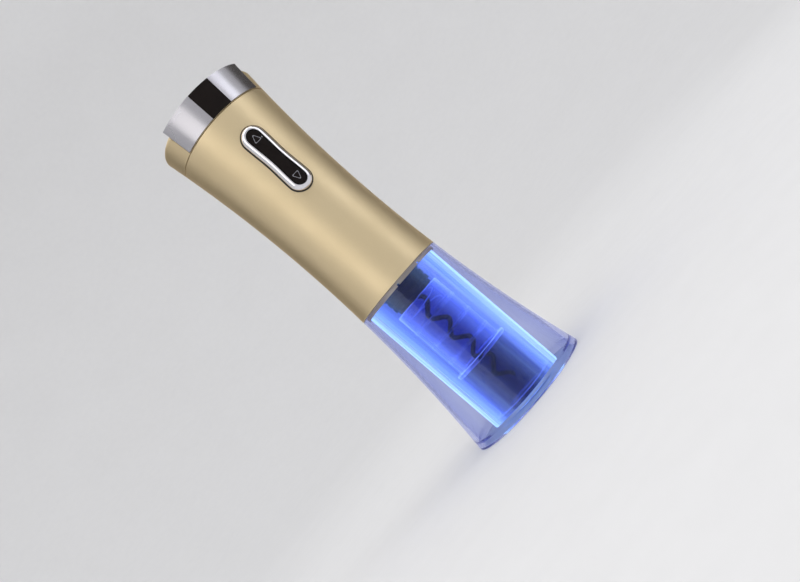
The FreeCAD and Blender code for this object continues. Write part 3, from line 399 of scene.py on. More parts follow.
CELL_JACKET = Finish("cell_jacket", (0.05, 0.05, 0.055), (0.08, 0.08, 0.085), 0.3, grain=900.0, coat=0.3)
LEAD_INSULATION = Finish("lead_insulation", (0.45, 0.02, 0.02), (0.36, 0.015, 0.015), 0.4, grain=1500.0)
FLAG_CLOTH = Finish("flag_cloth", (0.10, 0.09, 0.08), (0.08, 0.07, 0.06), 0.9, grain=200.0)
FLOOR_PALE = Finish("floor_pale", (0.70, 0.695, 0.69), (0.68, 0.675, 0.67), 0.8, grain=60.0, cloud=6.0)

SLOT_FINISH: dict[str, Finish] = {
    "champagne_metal": CHAMPAGNE, "polished_chrome": CHROME, "black_gloss": BLACK_GLOSS,
    "black_rubber": BLACK_RUBBER, "clear_plastic": BELL_CLEAR, "lit_plastic": TUBE_PAINTED_GLOW,
    "blue_clear_plastic": GUIDE_PAINTED_GLOW, "dark_plastic": DARK_PLASTIC, "worm_coating": WORM_COAT, "steel": STEEL,
    "blade_steel": BLADE_STEEL, "contact_metal": CONTACT_METAL, "bronze": BRONZE, "gear_plastic": GEAR_PLASTIC,
    "circuit_board": CIRCUIT_BOARD, "lamp_lens": LAMP_LENS, "cell_jacket": CELL_JACKET,
    "lead_insulation": LEAD_INSULATION,
}


# ---------------------------------------------------------------- mesh tools


SHELL_MERGE = 0.002  # mm, for a mesh made here
CAD_MERGE = 0.001  # mm, for a copied one
FLAT_ANGLE = 0.05  # degrees within which copied faces are one face
NORMAL_WEIGHT = 90


def merge(mesh: bpy.types.Mesh, gap: float, flat: float = 0.0) -> None:
    """Merges a mesh's doubles and turns its faces outward.

    Args:
        mesh: The mesh.
        gap: Distance in millimetres within which points are one.
        flat: Angle in degrees within which faces are joined, 0 to keep them all.
    """
    work = bmesh.new()
    work.from_mesh(mesh)
    bmesh.ops.remove_doubles(work, verts=work.verts, dist=gap * MM)
    bmesh.ops.recalc_face_normals(work, faces=work.faces)
    if flat:
        bmesh.ops.dissolve_limit(work, angle_limit=math.radians(flat), verts=work.verts, edges=work.edges)
    work.to_mesh(mesh)
    work.free()


def shell_mesh(
    name: str, points: Sequence[Point3], faces: Sequence[Sequence[int]], crease: float = CREASE
) -> bpy.types.Object:
    """Makes a closed mesh object from points in millimetres.

    Args:
        name: Name of the object.
        points: Corner points in millimetres.
        faces: Faces as indices of points.
        crease: Angle in degrees past which an edge is sharp.

    Returns:
        The new object, smooth but for its sharp edges.
    """
    mesh = bpy.data.meshes.new(name)
    mesh.from_pydata([(x * MM, y * MM, z * MM) for x, y, z in points], [], [list(f) for f in faces])
    merge(mesh, SHELL_MERGE)
    made = add_object(name, mesh)
    smooth(made, crease)
    return made


def smooth(piece: bpy.types.Object, crease: float) -> None:
    """Shades a piece smooth, with edges sharper than crease degrees kept sharp."""
    piece.data.shade_smooth()
    piece.data.set_sharp_from_angle(angle=math.radians(crease))


LONGEST_RUN = 0.49  # of the side that a rounded corner eats into
NO_LENGTH = 1e-6


def rounded(corners: Sequence[Point3], steps: int = 5) -> list[Point2]:
    """Rounds the corners of a closed profile.

    Args:
        corners: Each corner as (x, y, radius), with radius 0 to leave it sharp.
        steps: Pieces in each rounded corner.

    Returns:
        The points of the profile.
    """
    outline: list[Point2] = []
    for i, (x, y, radius) in enumerate(corners):
        here = Vector((x, y))
        before = Vector(corners[i - 1][:2]) - here
        after = Vector(corners[(i + 1) % len(corners)][:2]) - here
        if radius <= 0 or min(before.length, after.length) < NO_LENGTH:
            outline.append((x, y))
            continue
        before_way, after_way = before.normalized(), after.normalized()
        half = before_way.angle(after_way) / 2
        run = min(radius / math.tan(half), min(before.length, after.length) * LONGEST_RUN)
        true_radius = run * math.tan(half)
        centre = here + (before_way + after_way).normalized() * (true_radius / math.sin(half))
        first, last = here + before_way * run - centre, here + after_way * run - centre
        sweep = first.angle_signed(last)
        for k in range(steps + 1):
            turned = Matrix.Rotation(-sweep * k / steps, 2) @ first
            outline.append((centre.x + turned.x, centre.y + turned.y))
    return outline


def lathe(
    name: str, profile: Sequence[Point2], steps: int, crease: float = CREASE, dent: Optional[Dent] = None
) -> bpy.types.Object:
    """Turns a closed profile round Z.

    Args:
        name: Name of the object.
        profile: Points (radius, height) of the closed outline, in millimetres.
        steps: Faces round the axis.
        crease: Angle in degrees past which an edge is sharp.
        dent: Gives a new radius from (radius, angle).

    Returns:
        The new object.
    """
    points, faces = [], []
    count = len(profile)
    for j in range(steps):
        angle = TURN * j / steps
        for radius, height in profile:
            reach = dent(radius, angle) if dent else radius
            points.append((reach * math.cos(angle), reach * math.sin(angle), height))
    for j in range(steps):
        k = (j + 1) % steps
        for i in range(count):
            m = (i + 1) % count
            faces.append((j * count + i, k * count + i, k * count + m, j * count + m))
    return shell_mesh(name, points, faces, crease)


def from_cad(node: str, name: str, crease: float = 28.0) -> bpy.types.Object:
    """Copies a CAD node's mesh, merges it into one surface and shades it smooth.

    Args:
        node: The CAD node.
        name: Name of the copy.
        crease: Angle in degrees past which an edge is sharp.

    Returns:
        The copy.
    """
    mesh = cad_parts[node].data.copy()
    mesh.name = name
    merge(mesh, CAD_MERGE, FLAT_ANGLE)
    mesh.materials.clear()
    made = add_object(name, mesh)
    smooth(made, crease)
    even = made.modifiers.new("even_normals", "WEIGHTED_NORMAL")
    even.keep_sharp = True
    even.weight = NORMAL_WEIGHT
    apply_modifiers(made)
    return made


def apply_modifiers(piece: bpy.types.Object) -> None:
    """Makes a piece's modifiers part of its mesh."""
    bpy.context.view_layer.update()
    seen = piece.evaluated_get(bpy.context.evaluated_depsgraph_get())
    fixed = bpy.data.meshes.new_from_object(seen)
    piece.modifiers.clear()
    piece.data = fixed


def cut_out(piece: bpy.types.Object, tool: bpy.types.Object) -> None:
    """Cuts the tool's space out of a piece, and removes the tool."""
    cutter = piece.modifiers.new("opening", "BOOLEAN")
    cutter.operation = "DIFFERENCE"
    cutter.solver = "EXACT"
    cutter.object = tool
    apply_modifiers(piece)
    bpy.data.objects.remove(tool, do_unlink=True)


def dress(
    piece: bpy.types.Object, finish: Finish, body: Body, slot: str, node: Optional[str] = None
) -> bpy.types.Object:
    """Gives a piece its finish and its body, and hides the CAD node that it stands for.

    Args:
        piece: The piece.
        finish: Its finish.
        body: The body it rides on.
        slot: The record's material slot; not used.
        node: The CAD node, or None where it is extra detail.

    Returns:
        The piece.
    """
    if node:
        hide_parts(node)
    piece.data.materials.clear()
    piece.data.materials.append(finish.material())
    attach(piece, body.value)
    LOG.info("%s: %d faces, rides on %s", piece.name, len(piece.data.polygons), body.value)
    return piece


# ---------------------------------------------------------------- geometry node tools


@dataclass
class NodeRig:
    """A geometry node tree with named size inputs, run once on an empty mesh.

    Attributes:
        name: Name of the tree and of the piece.
        sizes: The named inputs and their values.
        whole: The inputs that are whole numbers.
    """

    name: str
    sizes: dict[str, float]
    whole: tuple[str, ...] = ()
    tree: bpy.types.NodeTree = field(init=False)

    def __post_init__(self) -> None:
        """Makes the tree with its inputs and output."""
        self.tree = bpy.data.node_groups.new(self.name + "_rule", "GeometryNodeTree")
        for label in self.sizes:
            kind = "NodeSocketInt" if label in self.whole else "NodeSocketFloat"
            self.tree.interface.new_socket(name=label, in_out="INPUT", socket_type=kind)
        self.tree.interface.new_socket(name="Geometry", in_out="OUTPUT", socket_type="NodeSocketGeometry")
        self.source = self.tree.nodes.new("NodeGroupInput")
        self.sink = self.tree.nodes.new("NodeGroupOutput")

    def size(self, label: str) -> bpy.types.NodeSocket:
        """Gives the socket of a named input."""
        return self.source.outputs[label]

    def add(self, kind: str, values: Optional[dict] = None, **settings: str) -> bpy.types.Node:
        """Adds a node to the tree, as add_node does."""
        return add_node(self.tree, kind, values, **settings)

    def maths(self, operation: str, first: Term, second: Term = 0.0, third: Term = 0.0) -> bpy.types.NodeSocket:
        """Works out a value from up to three others.

        Args:
            operation: The operation's name.
            first: Socket or number.
            second: Socket or number.
            third: Socket or number.

        Returns:
            The result socket.
        """
        node = self.add("ShaderNodeMath", {0: first, 1: second, 2: third}, operation=operation)
        return node.outputs[0]

    def build(self, shape: bpy.types.NodeSocket, finish: Finish, crease: float = CREASE) -> bpy.types.Object:
        """Ends the tree, runs it and turns the result into a plain mesh.

        Args:
            shape: The geometry to give out.
            finish: The finish set on it.
            crease: Angle in degrees past which an edge is sharp.

        Returns:
            The new piece.
        """
        real = self.add("GeometryNodeRealizeInstances", {"Geometry": shape})
        coat = self.add("GeometryNodeSetMaterial", {
            "Geometry": real.outputs["Geometry"], "Material": finish.material(),
        })
        self.tree.links.new(coat.outputs["Geometry"], self.sink.inputs["Geometry"])
        made = add_object(self.name, bpy.data.meshes.new(self.name))
        rule = made.modifiers.new("rule", "NODES")
        rule.node_group = self.tree
        for item in self.tree.interface.items_tree:
            if item.in_out == "INPUT":
                value = self.sizes[item.name]
                rule[item.identifier] = int(value) if item.name in self.whole else float(value)
        apply_modifiers(made)
        smooth(made, crease)
        return made


WIRE_CREASE = 50.0


def coil(name: str, finish: Finish, sizes: dict[str, float]) -> bpy.types.Object:
    """Winds a right-handed coil of round wire about Z.

    Args:
        name: Name of the piece.
        finish: Its finish.
        sizes: Points, Orbit, Wire, Pitch, Start, Tip, Top, Sides and Least, in metres where they are lengths. The
            angle is 0 at height Start, and from there down to Tip the wire thins to Least of its thickness.

    Returns:
        The coil.
    """
    rig = NodeRig(name, sizes, ("Points", "Sides"))
    line = rig.add("GeometryNodeCurvePrimitiveLine", mode="POINTS")
    fine = rig.add("GeometryNodeResampleCurve", {"Curve": line.outputs["Curve"], "Count": rig.size("Points")})
    share = rig.add("GeometryNodeSplineParameter").outputs["Factor"]
    length = rig.maths("SUBTRACT", rig.size("Top"), rig.size("Tip"))
    height = rig.maths("MULTIPLY_ADD", share, length, rig.size("Tip"))
    lap = rig.maths("DIVIDE", rig.maths("SUBTRACT", height, rig.size("Start")), rig.size("Pitch"))
    angle = rig.maths("MULTIPLY", lap, TURN)
    place = rig.add("ShaderNodeCombineXYZ", {
        "X": rig.maths("MULTIPLY", rig.maths("COSINE", angle), rig.size("Orbit")),
        "Y": rig.maths("MULTIPLY", rig.maths("SINE", angle), rig.size("Orbit")), "Z": height,
    })
    wound = rig.add("GeometryNodeSetPosition", {"Geometry": fine.outputs["Curve"], "Position": place.outputs[0]})
    ground = rig.maths("DIVIDE", rig.maths("SUBTRACT", height, rig.size("Tip")),
                       rig.maths("SUBTRACT", rig.size("Start"), rig.size("Tip")))
    thick = rig.maths("MINIMUM", rig.maths("MAXIMUM", ground, rig.size("Least")), 1.0)
    section = rig.add("GeometryNodeCurvePrimitiveCircle", {
        "Resolution": rig.size("Sides"), "Radius": rig.size("Wire"),
    })
    swept = rig.add("GeometryNodeCurveToMesh", {
        "Curve": wound.outputs["Geometry"], "Profile Curve": section.outputs["Curve"], "Scale": thick,
        "Fill Caps": True,
    })
    return rig.build(swept.outputs["Mesh"], finish, WIRE_CREASE)


# ---------------------------------------------------------------- the outside form


@dataclass(frozen=True)
class Flank:
    """The one long waisted curve that runs from the bell's rim to the cap."""

    waist_radius: float = 26.6
    waist_height: float = 130.0
    curve_radius: float = 775.0

    def radius(self, height: float, outward: float = 0.0) -> float:
        """Gives the outside radius at a height, moved outward by a distance."""
        rise = height - self.waist_height
        return self.waist_radius + self.curve_radius - math.sqrt(self.curve_radius ** 2 - rise * rise) + outward

    def run(self, low: float, high: float, outward: float, steps: int, ends: float = 0.0) -> list[Point3]:
        """Gives corners along the curve.

        Args:
            low: First height.
            high: Last height.
            outward: Distance moved outward.
            steps: Pieces in the run.
            ends: Rounding radius of the first and last corner.

        Returns:
            Corners as (radius, height, rounding).
        """
        corners = []
        for k in range(steps + 1):
            height = low + (high - low) * k / steps
            corners.append((self.radius(height, outward), height, ends if k in (0, steps) else 0.0))
        return corners


FLANK = Flank()


@dataclass
class BodyShell:
    """The satin metal body, with the opening that the button sits in, and the thin collar under it."""

    bottom: float = 88.1
    top: float = 207.3
    wall: float = 2.0
    edge: float = 0.45
    opening_half: float = 5.6
    opening_span: float = 14.7
    opening_height: float = 172.2
    opening_reach: Point2 = (-40.0, -15.0)
    opening_steps: int = 24
    inner_edge: float = 0.2
    steps: int = 40

    def build(self) -> None:
        """Builds the shell and the collar."""
        outside = FLANK.run(self.bottom, self.top, 0.0, self.steps, self.edge)
        inside = FLANK.run(self.bottom, self.top, -self.wall, self.steps, self.inner_edge)[::-1]
        shell = lathe("body_shell_satin", rounded(outside + inside), ROUND_STEPS)
        cut_out(shell, self.opening())
        smooth(shell, CREASE)
        dress(shell, CHAMPAGNE, Body.OPENER, "champagne_metal", "body_shell")
        collar = from_cad("collar_ring", "collar_ring_satin")
        dress(collar, CHAMPAGNE, Body.OPENER, "champagne_metal", "collar_ring")

    def opening(self) -> bpy.types.Object:
        """Makes the long round-ended tool that cuts the button's opening."""
        outline = stadium(self.opening_span, lambda along: self.opening_half, self.opening_steps)
        points = [(x, y, self.opening_height + z) for y in self.opening_reach for x, z in outline]
        count = len(outline)
        faces = [tuple(range(count)), tuple(range(2 * count - 1, count - 1, -1))]
        faces += [(i, (i + 1) % count, count + (i + 1) % count, count + i) for i in range(count)]
        return shell_mesh("opening_tool", points, faces)


def stadium(span: float, half: Callable[[float], float], steps: int) -> list[Point2]:
    """Gives a long outline with round ends, counter-clockwise from its lower right.

    Args:
        span: Distance from the middle to each end's centre.
        half: Half-width at a distance from the middle.
        steps: Points on each end and on each side.

    Returns:
        Points (across, along).
    """
    outline = []
    for k in range(steps):
        along = -span + 2 * span * k / steps
        outline.append((half(along), along))
    for k in range(steps):
        angle = math.pi * k / steps
        outline.append((half(span) * math.cos(angle), span + half(span) * math.sin(angle)))
    for k in range(steps):
        along = span - 2 * span * k / steps
        outline.append((-half(along), along))
    for k in range(steps):
        angle = math.pi + math.pi * k / steps
        outline.append((half(-span) * math.cos(angle), -span + half(-span) * math.sin(angle)))
    return outline


# ---------------------------------------------------------------- button


@dataclass
class Button:
    """The rocker button: domed chrome bezel, its rubber gasket, the dished rocker and its two marks."""

    height: float = 172.2
    span: float = 14.7
    outer_half: float = 6.5
    waist: float = 0.5
    frame_width: float = 2.55
    proud: float = 2.6
    dome_share: float = 0.93
    dome_steps: int = 9
    bezel_foot: float = 0.1
    bezel_lip: float = 0.22
    bezel_depth: float = 1.6
    bezel_undercut: float = 0.25
    gasket: float = 0.5
    gasket_proud: float = 0.5
    gasket_bevel: Point2 = (0.7, 0.55)
    gasket_gap: float = 0.05
    gasket_lap: float = 0.02
    gasket_seat: float = 0.35
    gasket_depth: float = 1.4
    rocker_gap: float = 0.25
    rocker_proud: float = 2.35
    rocker_depth: float = 1.2
    rocker_rows: tuple[float, ...] = (0.0, 0.25, 0.5, 0.7, 0.82, 0.88, 0.93, 0.97, 1.0)
    dish: float = 0.35
    round_share: float = 0.175
    round_drop: float = 0.42
    steps: int = 40
    mark_base: float = 11.8
    mark_rise: float = 4.3
    mark_half: float = 2.05
    mark_line: float = 0.12
    mark_side: float = 1.6
    mark_tip: float = 2.2
    mark_corner: float = 0.5
    mark_proud: float = 0.04
    mark_root: float = 0.05
    dot_place: Point2 = (2.75, 12.2)
    dot_radius: float = 0.36
    dot_core: float = 0.04
    dot_steps: int = 16

    def half(self, inset: float) -> Callable[[float], float]:
        """Gives the half-width rule of an outline set in by a distance."""
        def rule(along: float) -> float:
            """Gives the half-width at a distance from the middle."""
            return self.outer_half - inset - self.waist / 2 * (1 + math.cos(math.pi * along / self.span))

        return rule

    def at(self, across: float, along: float, rise: float) -> Point3:
        """Gives the point that stands a rise above the body's surface."""
        height = self.height + along
        reach = FLANK.radius(height)
        return (across, -(math.sqrt(reach * reach - across * across) + rise), height)

    def build(self) -> None:
        """Builds every piece of the button."""
        for piece, node, finish, body, slot in (
            (self.bezel(), "button_bezel", CHROME, Body.OPENER, "polished_chrome"),
            (self.gasket_ring(), "button_gasket", BLACK_RUBBER, Body.OPENER, "black_rubber"),
            (self.rocker(), "rocker_button", BLACK_GLOSS, Body.ROCKER, "black_gloss"),
            (self.mark("rocker_mark_up", 1.0), None, MARK_PAINT, Body.ROCKER, "black_gloss"),
            (self.mark("rocker_mark_down", -1.0), None, MARK_PAINT, Body.ROCKER, "black_gloss"),
            (self.dot(), None, MARK_PAINT, Body.ROCKER, "black_gloss"),
        ):
            dress(piece, finish, body, slot, node)

    def bezel(self) -> bpy.types.Object:
        """Builds the chrome frame with its domed face."""
        bends = [math.pi / 2 * k / self.dome_steps for k in range(1, self.dome_steps + 1)]
        rise = self.proud - self.bezel_foot
        return self.ring("button_bezel_chrome", [
            (0.0, self.bezel_foot),
            *[(self.frame_width * (1 - math.cos(a)) * self.dome_share, self.bezel_foot + rise * math.sin(a))
              for a in bends],
            (self.frame_width, self.proud - self.bezel_lip), (self.frame_width, -self.bezel_depth),
            (self.bezel_undercut, -self.bezel_depth),
        ])

    def gasket_ring(self) -> bpy.types.Object:
        """Builds the rubber line round the bezel."""
        inward, upward = self.gasket_bevel
        return self.ring("button_gasket_rubber", [
            (-self.gasket, -self.gasket_seat), (-self.gasket, self.gasket_proud * upward),
            (-self.gasket * inward, self.gasket_proud), (-self.gasket_gap, self.gasket_proud),
            (self.gasket_lap, self.bezel_foot), (self.gasket_lap, -self.gasket_depth),
            (-self.gasket, -self.gasket_depth),
        ])

    def ring(self, name: str, section: Sequence[Point2]) -> bpy.types.Object:
        """Sweeps a closed section round the button's outline.

        Args:
            name: Name of the piece.
            section: Points (inset, rise) from the outline's outer edge.

        Returns:
            The new piece.
        """
        rows = [stadium(self.span, self.half(inset), self.steps) for inset, _ in section]
        count, deep = len(rows[0]), len(section)
        points = [self.at(*rows[k][i], section[k][1]) for i in range(count) for k in range(deep)]
        faces = []
        for i in range(count):
            here, there = i * deep, ((i + 1) % count) * deep
            faces += [(here + k, there + k, there + (k + 1) % deep, here + (k + 1) % deep) for k in range(deep)]
        return shell_mesh(name, points, faces, 40.0)

    def rise(self, share: float, along: float) -> float:
        """Gives the rocker's height above the body from the share of the way out and the place along it."""
        middle = 1 - (along / (self.span + self.outer_half)) ** 2
        top = self.rocker_proud - self.dish * middle
        edge = max(0.0, (share - 1 + self.round_share) / self.round_share)
        return top - self.round_drop * (1 - math.sqrt(max(0.0, 1 - edge * edge)))

    def rocker(self) -> bpy.types.Object:
        """Builds the dished rocker.

        Returns:
            The new piece.
        """
        inset = self.frame_width + self.rocker_gap
        outline = stadium(self.span, self.half(inset), self.steps)
        count = len(outline)
        points, faces = [], []
        for share in self.rocker_rows:
            for across, along in outline:
                core = max(-self.span, min(self.span, along))
                u, v = across * share, core + (along - core) * share
                points.append(self.at(u, v, self.rise(share, v)))
        last_row = len(self.rocker_rows) - 1
        for k in range(last_row):
            for i in range(count):
                m = (i + 1) % count
                faces.append((k * count + i, k * count + m, (k + 1) * count + m, (k + 1) * count + i))
        base = len(points)
        points += [self.at(across, along, -self.rocker_depth) for across, along in outline]
        last = last_row * count
        faces += [(last + i, last + (i + 1) % count, base + (i + 1) % count, base + i) for i in range(count)]
        faces.append(tuple(range(base, base + count)))
        return shell_mesh("rocker_button_gloss", points, faces, 40.0)

    def surface(self, across: float, along: float, lift: float) -> Point3:
        """Gives a point lifted off the rocker's face."""
        return self.at(across, along, self.rise(0.0, along) + lift)

    def mark(self, name: str, way: float) -> bpy.types.Object:
        """Builds a rounded triangle outline on the rocker.

        Args:
            name: Name of the piece.
            way: 1 to point up, -1 to point down.

        Returns:
            The new piece.
        """
        rows = []
        for inset in (-self.mark_line, self.mark_line):
            rows.append(rounded([
                (self.mark_half - inset * self.mark_side, way * (self.mark_base + inset), self.mark_corner),
                (0.0, way * (self.mark_base + self.mark_rise - inset * self.mark_tip), self.mark_corner),
                (-self.mark_half + inset * self.mark_side, way * (self.mark_base + inset), self.mark_corner),
            ], 4))
        return self.band(name, rows[0], rows[1])

    def band(self, name: str, outer: Sequence[Point2], inner: Sequence[Point2]) -> bpy.types.Object:
        """Fills between two outlines with a thin raised band on the rocker."""
        count = len(outer)
        low, high = -self.mark_root, self.mark_proud
        rows = ((outer, low), (outer, high), (inner, high), (inner, low))
        points = [self.surface(u, v, lift) for row, lift in rows for u, v in row]
        faces = []
        for k in range(len(rows)):
            here, there = k * count, ((k + 1) % len(rows)) * count
            faces += [(here + i, here + (i + 1) % count, there + (i + 1) % count, there + i) for i in range(count)]
        return shell_mesh(name, points, faces)

    def dot(self) -> bpy.types.Object:
        """Builds the small round indicator beside the upper mark."""
        def circle(radius: float) -> list[Point2]:
            """Gives a circle about the indicator's middle."""
            across, along = self.dot_place
            turns = [TURN * k / self.dot_steps for k in range(self.dot_steps)]
            return [(across + radius * math.cos(a), along + radius * math.sin(a)) for a in turns]

        return self.band("rocker_indicator", circle(self.dot_radius), circle(self.dot_core))


# ---------------------------------------------------------------- clear section


CLEAR_CREASE = 40.0


@dataclass
class ClearSection:
    """The clear bell, the tube inside it, the neck guide, the cork tube and the lamps; the blue glow of the clear
    pieces is painted in their finishes.
    """

    bell_top: float = 87.95
    bell_wall: float = 2.2
    bell_steps: int = 36
    rim_wall: float = 3.2
    rim_foot: float = 0.9
    rim_shoulder: float = 3.0
    rim_top: float = 4.6
    rim_edge: float = 0.15
    tube_top: float = 86.9
    tube_foot: float = 0.8
    tube_radius: float = 24.0
    tube_draft: float = 0.3
    tube_wall: float = 3.0
    rib_count: int = 48
    rib_depth: float = 0.02
    rib_half: float = 0.5
    rib_band: float = 0.2
    tube_steps: int = 480
    guide_bore: float = 14.9
    guide_wall: float = 1.5
    guide_foot: float = 2.3
    guide_top: float = 31.3
    guide_lead: float = 0.8
    guide_lead_height: float = 1.2
    floor_radius: float = 20.6
    floor_thickness: float = 2.2
    cork_bore: float = 12.6
    cork_wall: float = 1.8
    cork_top: float = 75.2
    cork_flange: float = 17.4
    flange_thickness: float = 2.0
    seat_gap: float = 0.05
    ring_heights: Point3 = (41.0, 52.0, 63.0)
    ring_half: float = 0.7
    ring_proud: float = 0.35
    steps: int = 160
    lamp_count: int = 6
    lamp_orbit: float = 22.4
    lamp_side: float = 2.4
    lamp_top: float = 88.7
    lamp_drop: float = 1.5
    lens_share: float = 1.2
    lens_drop: float = 0.45

    def build(self) -> None:
        """Builds every clear piece."""
        for piece, node, finish, slot in (
            (self.bell(), "clear_bell", BELL_CLEAR, "clear_plastic"),
            (self.tube(), "light_tube", TUBE_PAINTED_GLOW, "lit_plastic"),
            (self.guide(), "neck_guide", GUIDE_PAINTED_GLOW, "blue_clear_plastic"),
            (self.cork_tube(), "cork_tube", CORK_TUBE_PAINTED_GLOW, "blue_clear_plastic"),
            (self.lamps(), "lamps", LAMP_LENS, "lamp_lens"),
        ):
            dress(piece, finish, Body.OPENER, slot, node)

    def bell(self) -> bpy.types.Object:
        """Builds the bell with its thicker rounded rim."""
        outside = FLANK.run(self.rim_foot, self.bell_top, 0.0, self.bell_steps, 0.35)
        outside[0] = (*outside[0][:2], 0.0)
        inside = FLANK.run(self.rim_top, self.bell_top, -self.bell_wall, self.bell_steps, 0.2)[::-1]
        rim = [
            (FLANK.radius(self.rim_shoulder, -self.rim_wall), self.rim_shoulder, 0.6),
            (FLANK.radius(0.0, -self.rim_wall), 0.0, 0.8), (FLANK.radius(0.0, -self.rim_edge), 0.0, 0.8),
        ]
        return lathe("clear_bell_wall", rounded(outside + inside + rim), ROUND_STEPS, CLEAR_CREASE)

    def tube(self) -> bpy.types.Object:
        """Builds the tube that carries the painted glow, with slender ribs down its inner face."""
        foot = self.tube_radius - self.tube_draft
        profile = rounded([
            (foot, self.tube_foot, 1.2), (self.tube_radius, self.tube_top, 0.5),
            (self.tube_radius - self.tube_wall, self.tube_top, 0.4), (foot - self.tube_wall, self.tube_foot, 1.0),
        ])

        def ribbed(radius: float, angle: float) -> float:
            """Moves the inner face in where a rib runs.

            Args:
                radius: Radius of the plain tube.
                angle: Angle round the axis.

            Returns:
                The radius with the rib.
            """
            if radius > self.tube_radius - self.tube_wall + self.rib_band:
                return radius
            off = (angle * self.rib_count / TURN + 0.5) % 1.0 - 0.5
            near = max(0.0, 1 - abs(off) / self.rib_half)
            return radius - self.rib_depth * min(1.0, near * 2)

        return lathe("light_tube_wall", profile, self.tube_steps, CLEAR_CREASE, ribbed)

    def guide(self) -> bpy.types.Object:
        """Builds the neck guide with its floor."""
        outer = self.guide_bore + self.guide_wall
        foot, floor = self.guide_foot, self.guide_foot + self.floor_thickness
        return lathe("neck_guide_wall", rounded([
            (self.guide_bore + self.guide_lead, foot, 0.3), (self.floor_radius, foot, 0.4),
            (self.floor_radius, floor, 0.4), (outer, floor, 0.6), (outer, self.guide_top, 0.3),
            (self.guide_bore, self.guide_top, 0.3), (self.guide_bore, foot + self.guide_lead_height, 0.3),
        ]), self.steps)

    def cork_tube(self) -> bpy.types.Object:
        """Builds the cork tube with its flange and three shallow rings."""
        outer = self.cork_bore + self.cork_wall
        proud, half = outer + self.ring_proud, self.ring_half
        rings = []
        for height in self.ring_heights:
            rings += [(outer, height - half, 0.1), (proud, height - half / 2, 0.15),
                      (proud, height + half / 2, 0.15), (outer, height + half, 0.1)]
        seat, flange = self.guide_top + self.seat_gap, self.guide_top + self.flange_thickness
        return lathe("cork_tube_wall", rounded([
            (self.cork_bore, seat, 0.3), (self.cork_flange, seat, 0.4), (self.cork_flange, flange, 0.4),
            (outer, flange, 0.5), *rings, (outer, self.cork_top, 0.5), (self.cork_bore, self.cork_top, 0.5),
        ], 3), self.steps)

    def lamps(self) -> bpy.types.Object:
        """Sets six lamps round the tube's top edge.

        Returns:
            The lamps as one piece.
        """
        rig = NodeRig("lamps_lit", {
            "Count": self.lamp_count, "Orbit": self.lamp_orbit * MM, "Half Side": self.lamp_side / 2 * MM,
            "Height": self.lamp_top * MM, "Drop": self.lamp_drop * MM,
        }, ("Count",))
        ring = rig.add("GeometryNodeMeshCircle", {"Vertices": rig.size("Count"), "Radius": rig.size("Orbit")})
        side = rig.maths("MULTIPLY", rig.size("Half Side"), 2.0)
        case = rig.maths("MULTIPLY", rig.size("Drop"), 0.5)
        block_size = rig.add("ShaderNodeCombineXYZ", {"X": side, "Y": side, "Z": case})
        block = rig.add("GeometryNodeMeshCube", {"Size": block_size.outputs[0]})
        swell = rig.maths("MULTIPLY", case, self.lens_share)
        lens = rig.add("GeometryNodeMeshUVSphere", {"Segments": 16, "Rings": 8, "Radius": swell})
        below = rig.add("ShaderNodeCombineXYZ", {"Z": rig.maths("MULTIPLY", case, -self.lens_drop)})
        lowered = rig.add("GeometryNodeTransform", {
            "Geometry": lens.outputs["Mesh"], "Translation": below.outputs[0],
        })
        lamp = rig.add("GeometryNodeJoinGeometry")
        rig.tree.links.new(block.outputs["Mesh"], lamp.inputs[0])
        rig.tree.links.new(lowered.outputs["Geometry"], lamp.inputs[0])
        spread = rig.add("GeometryNodeInstanceOnPoints", {
            "Points": ring.outputs["Mesh"], "Instance": lamp.outputs[0],
        })
        level = rig.maths("MULTIPLY_ADD", case, -0.5, rig.size("Height"))
        lift = rig.add("ShaderNodeCombineXYZ", {"Z": level})
        raised = rig.add("GeometryNodeTransform", {
            "Geometry": spread.outputs["Instances"], "Translation": lift.outputs[0],
        })
        return rig.build(raised.outputs["Geometry"], LAMP_LENS)


# ---------------------------------------------------------------- drive


